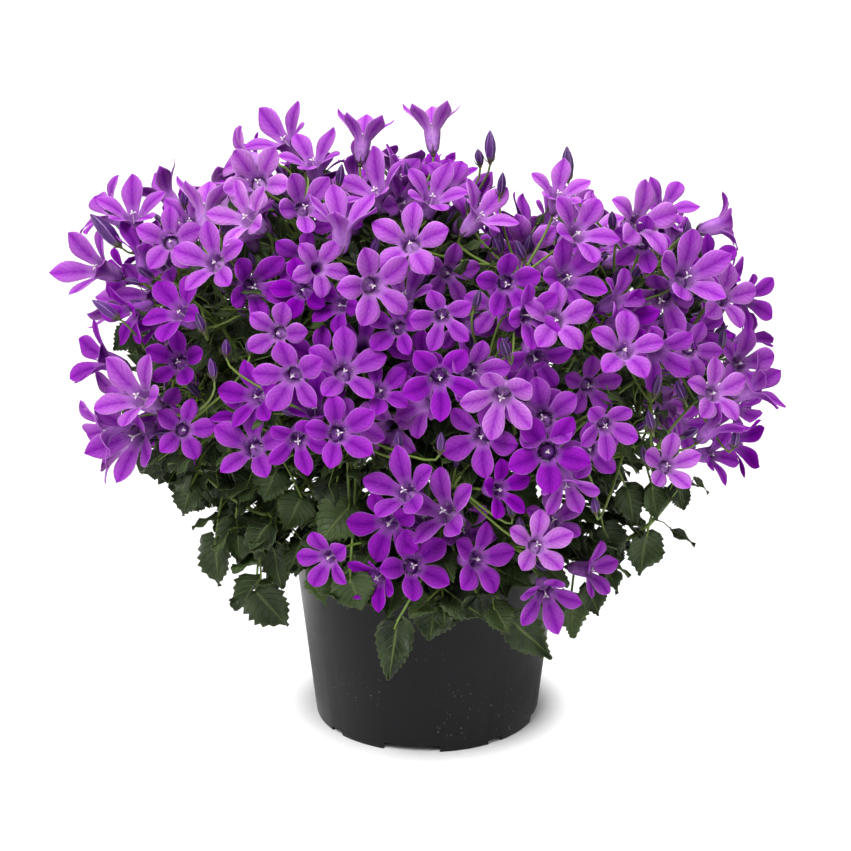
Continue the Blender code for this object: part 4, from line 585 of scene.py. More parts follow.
# %% The tree for stems
stem_tree, given = new_tree("round_stems", [("Lines", "Geometry"), ("Sides", "Int"), ("Finish", "Material")])
as_curve = add_node(stem_tree, "GeometryNodeMeshToCurve")
ring = add_node(stem_tree, "GeometryNodeCurvePrimitiveCircle")
ring.inputs["Radius"].default_value = 1.0
sweep = add_node(stem_tree, "GeometryNodeCurveToMesh")
sweep.inputs["Fill Caps"].default_value = True
smooth = add_node(stem_tree, "GeometryNodeSetShadeSmooth")
link = stem_tree.links.new
link(given.outputs["Lines"], as_curve.inputs["Mesh"])
link(given.outputs["Sides"], ring.inputs["Resolution"])
link(as_curve.outputs["Curve"], sweep.inputs["Curve"])
link(ring.outputs["Curve"], sweep.inputs["Profile Curve"])
link(named_value(stem_tree, "width", "FLOAT"), sweep.inputs["Scale"])
link(sweep.outputs["Mesh"], smooth.inputs["Geometry"])
end_tree(stem_tree, given, smooth.outputs["Geometry"])

# %% [markdown]
# ### Shapes on points
# Each point carries a turn, a size, which shape of the collection it takes, and a tone of its own, so
# that no two blooms are quite the same colour. The same value carries painted light: it is lower for bells
# and leaves deep in the plant, as painted shade, and higher for bells near the top, as painted light.

# %% The tree for shapes on points
shape_tree, given = new_tree(
    "shapes_on_points", [("Places", "Geometry"), ("Shapes", "Collection"), ("Finish", "Material")]
)
patterns = add_node(shape_tree, "GeometryNodeCollectionInfo")
patterns.inputs["Separate Children"].default_value = True
patterns.inputs["Reset Children"].default_value = True
turn = add_node(shape_tree, "FunctionNodeEulerToRotation")
scatter = add_node(shape_tree, "GeometryNodeInstanceOnPoints")
scatter.inputs["Pick Instance"].default_value = True
link = shape_tree.links.new
link(given.outputs["Places"], scatter.inputs["Points"])
link(given.outputs["Shapes"], patterns.inputs["Collection"])
link(patterns.outputs["Instances"], scatter.inputs["Instance"])
link(named_value(shape_tree, "form", "INT"), scatter.inputs["Instance Index"])
link(named_value(shape_tree, "turn", "FLOAT_VECTOR"), turn.inputs["Euler"])
link(turn.outputs["Rotation"], scatter.inputs["Rotation"])
link(named_value(shape_tree, "size", "FLOAT_VECTOR"), scatter.inputs["Scale"])
end_tree(shape_tree, given, scatter.outputs["Instances"])


# %% Helpers that run a tree and keep its result as a plain mesh
def mesh_of(ob):
    """The mesh of an object with its modifiers applied. The object itself is dropped."""
    mesh = bpy.data.meshes.new_from_object(ob.evaluated_get(bpy.context.evaluated_depsgraph_get()))
    bpy.data.objects.remove(ob, do_unlink=True)
    return mesh


def grown(mesh, tree, values):
    """A plain object from a tree run on this mesh."""
    ob = add_object(mesh.name, mesh)
    modifier = ob.modifiers.new("grow", "NODES")
    modifier.node_group = tree
    for item in tree.interface.items_tree:
        if item.in_out == "INPUT" and item.name in values:
            modifier[item.identifier] = values[item.name]
    result = mesh_of(ob)
    bpy.data.meshes.remove(mesh)
    return add_object(result.name, result)


# %% Helpers that hand lines and places to a tree
def lines_mesh(name, lines):
    """Lines of (point, width) pairs, as edges with a width at each corner."""
    mesh = bpy.data.meshes.new(name)
    points = [point for line in lines for point, width in line]
    edges = []
    start = 0
    for line in lines:
        edges += [(start + i, start + i + 1) for i in range(len(line) - 1)]
        start += len(line)
    mesh.from_pydata(points, edges, [])
    widths = mesh.attributes.new("width", "FLOAT", "POINT")
    widths.data.foreach_set("value", [width for line in lines for point, width in line])
    return mesh


def places_mesh(name, places):
    """Points of (place, turn, size, form, tone with painted light)."""
    spots, turns, sizes, forms, tones_and_painted_light = zip(*places)
    mesh = bpy.data.meshes.new(name)
    mesh.from_pydata(spots, [], [])
    for label, kind, entry, values in (
        ("turn", "FLOAT_VECTOR", "vector", [angle for turn in turns for angle in turn.to_euler("XYZ")]),
        ("size", "FLOAT_VECTOR", "vector", [side for size in sizes for side in size]),
        ("form", "INT", "value", forms),
        ("shade", "FLOAT", "value", tones_and_painted_light),
    ):
        mesh.attributes.new(label, kind, "POINT").data.foreach_set(entry, values)
    return mesh


def stems_from(name, lines, sides, finish):
    return grown(lines_mesh(name, lines), stem_tree, {"Sides": sides, "Finish": finish})


def shapes_from(name, places, shapes, finish):
    return grown(places_mesh(name, places), shape_tree, {"Shapes": shapes, "Finish": finish})


# %% A turn and a soft line
def frame_of(x, z):
    """The turn that takes local X and Z to these directions."""
    z = z.normalized()
    x = flatten(x, z)
    return Matrix((x, z.cross(x), z)).transposed()


def soft_line(points, widths, steps=4):
    """A smooth line through the points, as (point, width) pairs."""
    line = []
    for i in range(len(points) - 1):
        a, b, c, d = points[max(i - 1, 0)], points[i], points[i + 1], points[min(i + 2, len(points) - 1)]
        for k in range(steps):
            t = k / steps
            squared, cubed = (2 * a - 5 * b + 4 * c - d) * t * t, (3 * b - a - 3 * c + d) * t ** 3
            spot = 0.5 * (2 * b + (c - a) * t + squared + cubed)
            line.append((spot, widths[i] + (widths[i + 1] - widths[i]) * t))
    line.append((points[-1], widths[-1]))
    return line


# %% [markdown]
# ## The finishes
# Petals, leaves, stems, pot and soil each have a finish made only of nodes. What several of them share,
# the grain and the veins of a blade, is a node group that gives values. The shaders stay in the
# materials themselves.

# %% Helpers for finishes
def new_group(name, inputs, outputs):
    group = bpy.data.node_groups.new(name, "ShaderNodeTree")
    for label, kind, value in inputs:
        socket = group.interface.new_socket(label, in_out="INPUT", socket_type="NodeSocket" + kind)
        socket.default_value = value
    for label, kind in outputs:
        group.interface.new_socket(label, in_out="OUTPUT", socket_type="NodeSocket" + kind)
    return group, add_node(group, "NodeGroupInput"), add_node(group, "NodeGroupOutput")


def feed(tree, socket, value):
    """Set a socket to a number or a colour, or link another node's socket to it."""
    if isinstance(value, tuple):
        socket.default_value = (*value, 1.0)
    elif isinstance(value, (int, float)):
        socket.default_value = value
    else:
        tree.links.new(value, socket)


def maths(tree, operation, *values):
    node = add_node(tree, "ShaderNodeMath", operation=operation)
    for socket, value in zip(node.inputs, values):
        feed(tree, socket, value)
    return node.outputs[0]


def times(tree, a, b):
    return maths(tree, "MULTIPLY", a, b)


def plus(tree, a, b):
    return maths(tree, "ADD", a, b)


def fade(tree, value, low, high, first=0.0, last=1.0):
    """A smooth step of a value from low to high."""
    node = add_node(tree, "ShaderNodeMapRange", interpolation_type="SMOOTHSTEP")
    for socket, part in zip(node.inputs, (value, low, high, first, last)):
        feed(tree, socket, part)
    return node.outputs[0]


def blend(tree, share, a, b):
    """Two colours mixed by a share."""
    node = add_node(tree, "ShaderNodeMix", data_type="RGBA")
    for i, value in ((0, share), (6, a), (7, b)):
        feed(tree, node.inputs[i], value)
    return node.outputs[2]


def glaze(tree, colour, mask, strength, tint):
    """A colour with a tint laid over it, as strongly as the mask and the strength say."""
    return blend(tree, times(tree, mask, strength), colour, tint)


# %% Helpers for a material
def new_finish(name, roughness):
    finish = bpy.data.materials.new(name)
    finish.use_nodes = True
    tree = finish.node_tree
    shader = tree.nodes["Principled BSDF"]
    shader.inputs["Roughness"].default_value = roughness
    return finish, tree, shader


def cover(tree, shader, colour, relief, depth, strength):
    """Give a shader its colour, and a fine relief of this depth."""
    tree.links.new(colour, shader.inputs["Base Color"])
    bump = add_node(tree, "ShaderNodeBump")
    bump.inputs["Strength"].default_value = strength
    bump.inputs["Distance"].default_value = depth
    tree.links.new(relief, bump.inputs["Height"])
    tree.links.new(bump.outputs["Normal"], shader.inputs["Normal"])


def own_coords(tree):
    """The coordinates of the piece itself, in metres."""
    return add_node(tree, "ShaderNodeTexCoord").outputs["Object"]


def blade_coords(tree):
    """Across and along a petal or leaf, from its own map, and the piece's own coordinates."""
    chart = add_node(tree, "ShaderNodeUVMap", uv_map="blade")
    split = add_node(tree, "ShaderNodeSeparateXYZ")
    tree.links.new(chart.outputs["UV"], split.inputs[0])
    return split.outputs["X"], split.outputs["Y"], own_coords(tree)


def own_value(tree, name):
    return add_node(tree, "ShaderNodeAttribute", attribute_name=name).outputs["Fac"]


# %% [markdown]
# ### Grain
# Skin, felt, plastic and peat all have a grain of some size. One group makes it from noise, and each
# finish places it with its own scale. A picture of a surface would stretch or show its seams, noise has
# neither.

# %% The grain group
grains, given, done = new_group(
    "soft_grain",
    [("Coords", "Vector", (0.0, 0.0, 0.0)), ("Scale", "Float", 100.0), ("Detail", "Float", 3.0),
     ("Roughness", "Float", 0.5)],
    [("Grain", "Float")],
)
speckle = add_node(grains, "ShaderNodeTexNoise")
for label, value in zip(("Vector", "Scale", "Detail", "Roughness"), given.outputs):
    grains.links.new(value, speckle.inputs[label])
grains.links.new(speckle.outputs[0], done.inputs["Grain"])
print("grain group:", len(grains.nodes), "nodes")


def grain(tree, coords, scale, detail=3.0, rough=0.5):
    node = add_node(tree, "ShaderNodeGroup", node_tree=grains)
    for socket, value in zip(node.inputs, (coords, scale, detail, rough)):
        feed(tree, socket, value)
    return node.outputs["Grain"]


# %% [markdown]
# ### Veins of a blade
# A petal and a leaf share one layout: a midrib, and side veins that leave it at an angle and run to the
# edge. The group takes the two map values, how many side veins there are and how steep they are, and
# gives the midrib, the side veins and the distance from the middle as masks.

# %% The vein group
veins, given, done = new_group(
    "blade_veins",
    [("Across", "Float", 0.5), ("Along", "Float", 0.5), ("Count", "Float", 8.0), ("Slant", "Float", 0.5)],
    [("Side", "Float"), ("Midrib", "Float"), ("Branches", "Float")],
)
off_middle = maths(veins, "SUBTRACT", given.outputs["Across"], 0.5)
side = times(veins, maths(veins, "ABSOLUTE", off_middle), 2.0)
midrib = fade(veins, side, 0.02, 0.13, 1.0, 0.0)
lean = times(veins, side, given.outputs["Slant"])
run = times(veins, maths(veins, "SUBTRACT", given.outputs["Along"], lean), given.outputs["Count"])
wave = maths(veins, "ABSOLUTE", maths(veins, "SUBTRACT", maths(veins, "FRACT", run), 0.5))
branches = fade(veins, wave, 0.0, 0.14, 1.0, 0.0)
for label, mask in (("Side", side), ("Midrib", midrib), ("Branches", branches)):
    veins.links.new(mask, done.inputs[label])
print("vein group:", len(veins.nodes), "nodes")


def vein_masks(tree, across, along, count, slant):
    node = add_node(tree, "ShaderNodeGroup", node_tree=veins)
    for label, value in (("Across", across), ("Along", along), ("Count", count), ("Slant", slant)):
        feed(tree, node.inputs[label], value)
    return node.outputs["Side"], node.outputs["Midrib"], node.outputs["Branches"]


# %% [markdown]
# ### Petals
# A bell's petal is a saturated violet, lighter towards its edge, with a darker line down its middle. All
# of it is darker or lighter with the bell's tone, which carries painted light. The throat is pale where it
# opens, paler on the lighter bells, and darker further down, which is painted shade. The tube is paler
# outside, more so on the lighter bells, with a few streaks.
# The map's second value runs from the tube's base to the petal's tip, so one ramp along it tells throat
# from petal. The mask "outside" is 1 on the outer skin.

# %% The petal finish
petal_finish, tree, shader = new_finish("petal_violet", 0.6)
across, along, coords = blade_coords(tree)
side, midrib, branches = vein_masks(tree, across, along, 9.0, 0.22)
# The bell's tone, with its painted light: lower for sunk bells, higher for bells near the top.
shade = own_value(tree, "shade")
outside = own_value(tree, "outside")
deep = blend(tree, shade, (0.110, 0.0010, 0.215), (0.30, 0.030, 0.44))
pale = blend(tree, shade, (0.24, 0.004, 0.37), (0.50, 0.19, 0.575))
fibre = add_node(tree, "ShaderNodeCombineXYZ")
for label, value, scale in (("X", across, 22.0), ("Y", along, 9.0), ("Z", shade, 40.0)):
    tree.links.new(times(tree, value, scale), fibre.inputs[label])
fibres = grain(tree, fibre.outputs["Vector"], 1.0, 4.0)
edge = fade(tree, plus(tree, side, times(tree, fibres, 0.9)), 0.2, 1.35)
colour = blend(tree, edge, deep, pale)
rim_light = plus(tree, times(tree, shade, 0.45), 0.2)
colour = glaze(tree, colour, fade(tree, side, 0.84, 1.0), rim_light, (0.60, 0.37, 0.68))
colour = glaze(tree, colour, fade(tree, along, 0.72, 1.0), 0.3, (0.34, 0.012, 0.51))
colour = glaze(tree, colour, midrib, 0.2, (0.085, 0.001, 0.19))
colour = glaze(tree, colour, branches, 0.3, (0.09, 0.002, 0.24))
lining = maths(tree, "SUBTRACT", 1.0, outside)
# How pale the throat's opening and the tube's outside are grows with the bell's painted light.
lit = plus(tree, times(tree, shade, 0.4), 0.26)
throat = times(tree, fade(tree, along, 0.54, 0.38), lining)
colour = glaze(tree, colour, throat, lit, (0.58, 0.30, 0.70))
# Painted shade: the throat is darker further down the tube and on its floor.
well = times(tree, fade(tree, along, 0.34, 0.20), lining)
colour = glaze(tree, colour, well, 0.8, blend(tree, shade, (0.21, 0.055, 0.32), (0.50, 0.30, 0.58)))
tube_skin = times(tree, outside, fade(tree, along, 0.66, 0.2))
colour = glaze(tree, colour, tube_skin, lit, (0.55, 0.29, 0.70))
streaks = times(tree, tube_skin, fade(tree, grain(tree, coords, 420.0, 1.0), 0.5, 0.66))
colour = glaze(tree, colour, streaks, 0.4, (0.20, 0.03, 0.36))
shader.inputs["Specular IOR Level"].default_value = 0.0
relief = plus(tree, times(tree, branches, -0.4), grain(tree, coords, 900.0, 2.0))
cover(tree, shader, colour, relief, 0.2 * MM, 0.5)
print("petal finish:", len(tree.nodes), "nodes")

# %% [markdown]
# ### Buds, sepals, hairs
# A closed bud is folded in five pleats. Their ridges are pale lilac and the folds between nearly black
# violet. Sepals are dull green, browner at the tips. The style in the throat and the hairs round it are
# nearly white.

# %% The finishes of buds, sepals, style and hairs
bud_finish, tree, shader = new_finish("bud_violet", 0.5)
across, along, coords = blade_coords(tree)
pleats = maths(tree, "COSINE", times(tree, across, math.tau * PETALS))
ridge = fade(tree, plus(tree, pleats, times(tree, grain(tree, coords, 500.0), 0.3)), 0.85, 1.15)
colour = blend(tree, own_value(tree, "shade"), (0.028, 0.002, 0.062), (0.075, 0.006, 0.155))
colour = glaze(tree, colour, ridge, 0.5, (0.36, 0.17, 0.50))
colour = blend(tree, fade(tree, along, 0.22, 0.0), colour, (0.12, 0.13, 0.05))
cover(tree, shader, colour, pleats, 0.3 * MM, 0.4)


def grained_finish(name, roughness, patches, detail, dark, light, bumps, strength):
    """A finish of two colours in soft patches, with a fine relief. Patches and bumps are scales."""
    finish, tree, shader = new_finish(name, roughness)
    coords = own_coords(tree)
    colour = blend(tree, grain(tree, coords, patches, detail), dark, light)
    cover(tree, shader, colour, grain(tree, coords, bumps), 0.1 * MM, strength)
    return finish


sepal_finish = grained_finish(
    "sepal_green", 0.6, 220.0, 3.0, (0.045, 0.075, 0.018), (0.10, 0.055, 0.035), 1500.0, 0.5
)
hair_finish = grained_finish(
    "style_white", 0.6, 400.0, 3.0, (0.55, 0.42, 0.56), (0.90, 0.84, 0.84), 1800.0, 0.4
)
print("bud, sepal and style finishes made")

# %% [markdown]
# ### Leaves and stems
# The leaves are a dull dark green with paler veins and a slightly lighter edge, and rough like felt.
# Leaves deep in the plant get a darker tone, which is painted shade. The stems are a fresh yellow green
# where light reaches them.

# %% The finishes of leaves and stems
leaf_finish, tree, shader = new_finish("leaf_green", 0.62)
across, along, coords = blade_coords(tree)
side, midrib, branches = vein_masks(tree, across, along, 7.0, 0.28)
shade = own_value(tree, "shade")
patches = fade(tree, grain(tree, coords, 90.0, 4.0), 0.35, 0.7)
# The leaf's tone sets how dark it is; low values on leaves deep in the plant are painted shade.
colour = blend(tree, shade, (0.002, 0.007, 0.001), (0.042, 0.076, 0.014))
colour = glaze(tree, colour, patches, 0.35, (0.075, 0.120, 0.036))
colour = glaze(tree, colour, midrib, 0.5, (0.14, 0.19, 0.055))
colour = glaze(tree, colour, branches, 0.22, (0.09, 0.125, 0.036))
colour = glaze(tree, colour, fade(tree, side, 0.86, 1.0), 0.3, (0.12, 0.16, 0.045))
rough = plus(tree, times(tree, grain(tree, coords, 300.0), 0.3), 0.34)
tree.links.new(rough, shader.inputs["Roughness"])
shader.inputs["Specular IOR Level"].default_value = 0.32
relief = maths(tree, "SUBTRACT", grain(tree, coords, 700.0), maths(tree, "MAXIMUM", midrib, branches))
cover(tree, shader, colour, relief, 0.5 * MM, 0.7)
stem_finish = grained_finish(
    "stem_green", 0.5, 60.0, 4.0, (0.07, 0.14, 0.014), (0.22, 0.31, 0.05), 1200.0, 0.5
)
print("leaf and stem finishes made")

# %% [markdown]
# ## The shapes
# ### A bell
# A campanula's bell is one piece of tissue: a tube that widens and splits into five pointed petals. It is
# built as a grid, five sectors side by side. Each row has a distance from the axis and a height, and past
# the notch each sector narrows to a petal by its half width. Three rings close the throat like a floor. A
# thin skin is given to the sheet at the end, because a sheet with no thickness has no edge for light to
# catch. Six fine forms and three coarse ones differ in how far the petals rise and curl.

# %% The bell's rows, in millimetres: out, height, half width, place along the map
HALF_SECTOR = math.radians(SECTOR / 2)
TUBE_ROWS = [(1.5, -15.0, 0.0), (3.2, -12.8, 0.11), (4.1, -8.4, 0.23), (4.6, -3.7, 0.35)]
PETAL_ROWS = [
    (4.8, -0.6, 2.9, 0.43), (6.1, 0.9, 3.5, 0.48), (8.0, 2.6, 4.5, 0.56), (10.2, 4.0, 5.3, 0.65),
    (12.5, 4.9, 5.5, 0.74), (14.8, 5.3, 4.85, 0.83), (16.9, 5.4, 3.4, 0.91), (18.3, 5.3, 1.7, 0.96),
    (19.2, 5.1, 0.1, 1.0),
]
FLOOR_RINGS = [(3.9, -8.4), (2.5, -7.1), (0.35, -6.6)]
FLOOR_SIDES = 10
FLOOR_CHART = (0.8, 0.22)
ACROSS = (-1.0, -0.66, -0.3, 0.0, 0.3, 0.66, 1.0)
FEWER_ACROSS = (-1.0, -0.5, 0.0, 0.5, 1.0)


# %% A sheet with a map and a skin
def charted_mesh(name, points, faces, charts, merge):
    """A smooth mesh with its map, its doubled points merged."""
    mesh = bpy.data.meshes.new(name)
    mesh.from_pydata(points, [], faces)
    chart = mesh.uv_layers.new(name="blade")
    for loop in mesh.loops:
        chart.data[loop.index].uv = charts[loop.vertex_index]
    bm = bmesh.new()
    bm.from_mesh(mesh)
    bmesh.ops.remove_doubles(bm, verts=bm.verts, dist=merge)
    for face in bm.faces:
        face.smooth = True
    bm.to_mesh(mesh)
    bm.free()
    return mesh


def sheet_with_skin(name, points, faces, charts, thickness, merge=1e-6):
    """A sheet with a map, a skin of its own on the other side, and the mask "outside" on that skin."""
    mesh = charted_mesh(name, points, faces, charts, merge)
    front = len(mesh.vertices)
    ob = add_object(name, mesh)
    skin = ob.modifiers.new("skin", "SOLIDIFY")
    skin.thickness = thickness
    skin.offset = -1.0
    thick = mesh_of(ob)
    mask = thick.attributes.new("outside", "FLOAT", "POINT")
    mask.data.foreach_set("value", [0.0 if v.index < front else 1.0 for v in thick.vertices])
    for polygon in thick.polygons:
        polygon.use_smooth = True
    return bpy.data.objects.new(name, thick)


def band(start, wide, rows, closed=False):
    """The faces between rows of points, each row this many points wide."""
    faces = []
    for j in range(rows - 1):
        for k in range(wide if closed else wide - 1):
            a, b = start + j * wide + k, start + j * wide + (k + 1) % wide
            faces.append([a, b, b + wide, a + wide])
    return faces


# %% One bell, petal by petal
def bell_shape(name, cup, curl, seed, fine=True):
    """A bell whose petals rise by cup and roll their sides back by curl, each one a little differently."""
    draw = random.Random(seed)
    columns = ACROSS if fine else FEWER_ACROSS
    tube_rows = TUBE_ROWS if fine else TUBE_ROWS[::2]
    petal_rows = PETAL_ROWS if fine else [PETAL_ROWS[i] for i in (0, 2, 4, 6, 8)]
    points, faces, charts = [], [], []
    for sector in range(PETALS):
        spoke = math.radians(SECTOR * sector)
        lift = cup + draw.uniform(-2.0, 2.0)
        roll = curl * draw.uniform(0.3, 1.6)
        swing = draw.uniform(-0.08, 0.08)
        twist = draw.uniform(-0.45, 0.45)
        tip_bend = draw.uniform(-1.6, 1.0)
        plump = draw.uniform(0.9, 1.14)
        phase = draw.uniform(0.0, math.tau)
        start = len(points)
        for out, height, v in tube_rows:
            for u in columns:
                angle = spoke + u * HALF_SECTOR
                rib = 1.0 + 0.06 * math.cos(PETALS * angle)
                points.append(Vector((math.cos(angle) * out * rib, math.sin(angle) * out * rib, height)) * MM)
                charts.append(((u + 1) / 2, v))
        for row, (out, height, half, v) in enumerate(petal_rows):
            t = row / (len(petal_rows) - 1)
            for u in columns:
                charts.append(((u + 1) / 2, v))
                x = out - 0.16 * abs(lift) * t * t
                y = u * half * (plump if row else 1.0)
                rolled_back = roll * (u * u) * math.sin(math.pi * min(t * 1.1, 1.0))
                z = height + lift * t ** 1.3 - rolled_back + tip_bend * t ** 4
                if 0 < t < 1:
                    z -= 0.55 * math.exp(-((u / 0.26) ** 2)) * math.sin(math.pi * t) ** 0.7
                z += 1.1 * abs(u) * t * (1 - t) ** 2 * 4
                z += 0.34 * math.sin(8 * t + phase + 2.5 * u) * abs(u) * t
                y, z = y * math.cos(twist * t) + swing * out * t, z + y * math.sin(twist * t)
                if row == 0:
                    angle = u * HALF_SECTOR
                    x, y, z = 4.85 * math.cos(angle), 4.85 * math.sin(angle), -1.2 + 0.6 * (1 - abs(u))
                points.append(Matrix.Rotation(spoke, 3, "Z") @ Vector((x, y, z)) * MM)
        faces += [face[::-1] for face in band(start, len(columns), len(tube_rows) + len(petal_rows))]
    if fine:
        faces += band(len(points), FLOOR_SIDES, len(FLOOR_RINGS), True)
        for out, height in FLOOR_RINGS:
            points += ring_points(ABOVE * height * MM, ABOVE, RIGHT, out * MM, FLOOR_SIDES)
            charts += [FLOOR_CHART] * FLOOR_SIDES
    return sheet_with_skin(name, points, faces, charts, 0.26 * MM)


# %% All the bells
def count_of(ob):
    return sum(len(p.vertices) - 2 for p in ob.data.polygons)


all_shapes = []


def shape_collection(name, obs):
    collection = bpy.data.collections.new(name)
    all_shapes.append(collection)
    for ob in obs:
        collection.objects.link(ob)
    print(name, [count_of(ob) for ob in obs], "triangles each")
    return collection


# How far the petals rise, and how far their sides roll back
BELL_FORMS = [(2.5, 0.5), (6.0, 0.3), (-0.6, 1.0), (3.8, 0.8), (1.2, 0.3), (9.0, 0.2)]
INNER_FORMS = [(2.0, 0.6), (5.5, 0.2), (-1.0, 0.9)]
bell_shapes = shape_collection("bells", [
    bell_shape(f"bell_{i + 1:02d}", cup, curl, i + 1, i < len(BELL_FORMS))
    for i, (cup, curl) in enumerate(BELL_FORMS + INNER_FORMS)
])

# %% [markdown]
# ### Sepals, style and hairs
# Under each bell sits a small green cup with five narrow sepals. In the throat stands a pale style whose
# tip splits in three, with short hairs round it. They are tiny, so each has only a few dozen faces.

# %% Helpers for small closed shapes
def outward_shape(name, bm, smooth_faces):
    bmesh.ops.recalc_face_normals(bm, faces=bm.faces)
    for face in bm.faces:
        face.smooth = smooth_faces
    mesh = bpy.data.meshes.new(name)
    bm.to_mesh(mesh)
    bm.free()
    mesh.uv_layers.new(name="blade")
    return bpy.data.objects.new(name, mesh)


def plain_shape(name, points, faces, smooth_faces=True):
    """A closed shape with its faces turned outwards and an empty map, so that it joins with the others."""
    bm = bmesh.new()
    corners = [bm.verts.new(p) for p in points]
    for face in faces:
        bm.faces.new([corners[i] for i in face])
    return outward_shape(name, bm, smooth_faces)


def spike(points, faces, line, sides=3):
    """A tapered prong along a line of (point, radius), added to the lists."""
    start = len(points)
    for i, (point, radius) in enumerate(line):
        ahead = (line[min(i + 1, len(line) - 1)][0] - line[max(i - 1, 0)][0]).normalized()
        aside = Vector((0.31, 0.17, 0.93)) if abs(ahead.z) < 0.8 else Vector((1.0, 0.1, 0.0))
        points += ring_points(point, ahead, flatten(aside, ahead), radius, sides)
    faces += band(start, sides, len(line), True)
    faces.append([start + k for k in range(sides)][::-1])
    faces.append([start + (len(line) - 1) * sides + k for k in range(sides)])


def level(turn):
    """The level direction at this compass turn."""
    return Vector((math.cos(turn), math.sin(turn), 0))


# %% The cup
def cup_shape(name, reach, spread):
    points, faces = [], []
    cup = ((-2.6, 0.5), (-1.7, 1.35), (-0.4, 1.75), (0.7, 1.2))
    spike(points, faces, [(ABOVE * z * MM, r * MM) for z, r in cup], 8)
    for i in range(PETALS):
        way = level(math.radians(SECTOR / 2 + SECTOR * i))
        line = []
        for t, width in ((0.0, 0.55), (0.35, 0.5), (0.7, 0.34), (1.0, 0.06)):
            out = 1.2 + reach * spread * math.sin(t * 1.3)
            height = -0.2 + reach * t * (0.35 + 0.6 * t)
            line.append(((way * out + ABOVE * height) * MM, width * MM))
        spike(points, faces, line, 3)
    return plain_shape(name, points, faces)


# %% The style
def style_shape(name, tall, open_out):
    points, faces = [], []
    rod = [(-13.5, 0.45), (-6, 0.42), (tall - 0.8, 0.45), (tall, 0.5)]
    spike(points, faces, [(ABOVE * z * MM, r * MM) for z, r in rod], 5)
    for i in range(3):
        way = level(math.radians(120 * i + 20))
        curl = ((0.1, -0.2, 0.5), (0.6, 0.8, 0.48), (1.2, 1.2, 0.4), (1.5, 0.7, 0.18))
        line = [((way * x * open_out + ABOVE * (tall + z)) * MM, r * MM) for x, z, r in curl]
        spike(points, faces, line, 4)
    return plain_shape(name, points, faces)


# %% The hairs
HAIRS = 44


def fuzz_shape(name, seed):
    draw = random.Random(seed)
    points, faces = [], []
    for _ in range(HAIRS):
        turn = draw.uniform(0.0, math.tau)
        height = draw.uniform(-5.0, -0.9)
        out = 4.4 + 0.08 * (height + 5.0) + draw.uniform(-0.1, 0.1)
        foot = Vector((math.cos(turn) * out, math.sin(turn) * out, height))
        inward = draw.uniform(0.12, 0.36)
        tip = foot + Vector((-foot.x * inward, -foot.y * inward, draw.uniform(0.3, 1.5)))
        corners = ((0, 1, 3), (1, 2, 3), (2, 0, 3), (2, 1, 0))
        faces += [[len(points) + corner for corner in face] for face in corners]
        points += ring_points(foot * MM, ABOVE, RIGHT, 0.085 * MM, 3) + [tip * MM]
    return plain_shape(name, points, faces, False)


cup_shapes = shape_collection("cups", [cup_shape("cup_1", 5.6, 0.75), cup_shape("cup_2", 6.4, 0.5)])
style_shapes = shape_collection("styles", [
    style_shape("style_1", -0.6, 0.8), style_shape("style_2", 1.4, 1.3),
])
fuzz_shapes = shape_collection("fuzz", [fuzz_shape(f"fuzz_{seed}", seed) for seed in (5, 6, 9)])

# %% [markdown]
# ### A bud
# A bud is a spindle with five pleats that wind a little. It is made one unit long and wide, and each
# place gives it its own length and width.

# %% The bud
# Half width and place along the bud
BUD_ROWS = [
    (0.14, 0.0), (0.30, 0.07), (0.42, 0.20), (0.50, 0.40), (0.47, 0.60), (0.34, 0.79), (0.16, 0.93),
    (0.03, 1.0),
]
BUD_SIDES = 20


def bud_shape(name, wind):
    points, charts = [], []
    for radius, z in BUD_ROWS:
        for k in range(BUD_SIDES + 1):
            turn = math.tau * k / BUD_SIDES
            pleat = 1.0 + 0.17 * math.cos(PETALS * turn) * math.sin(math.pi * min(1.0, z * 0.85 + 0.12))
            where = turn + wind * z
            points.append(Vector((math.cos(where) * radius * pleat, math.sin(where) * radius * pleat, z)))
            charts.append((k / BUD_SIDES, z))
    wide = BUD_SIDES + 1
    top = (len(BUD_ROWS) - 1) * wide
    faces = band(0, wide, len(BUD_ROWS)) + [list(range(BUD_SIDES))[::-1], list(range(top, top + BUD_SIDES))]
    return bpy.data.objects.new(name, charted_mesh(name, points, faces, charts, 1e-5))


bud_shapes = shape_collection("buds", [bud_shape("bud_1", 0.5), bud_shape("bud_2", -0.3)])

# %% [markdown]
# ### Leaves
# The large leaves are heart-shaped with coarse teeth. A grid with one more row than twice the teeth lets
# every other edge point stick out. Small leaves and bracts, which fill the inside of the dome by the
# hundred, have the same outline with a few dozen faces.

# %% The leaves
# Place along the leaf and half width
LEAF_OUTLINE = [
    (0.0, 0.10), (0.05, 0.37), (0.13, 0.50), (0.24, 0.55), (0.38, 0.53), (0.52, 0.45), (0.66, 0.34),
    (0.79, 0.22), (0.90, 0.10), (1.0, 0.012),
]


def half_width(x):
    for (x0, w0), (x1, w1) in zip(LEAF_OUTLINE, LEAF_OUTLINE[1:]):
        if x <= x1:
            return w0 + (w1 - w0) * (x - x0) / (x1 - x0)
    return 0.0


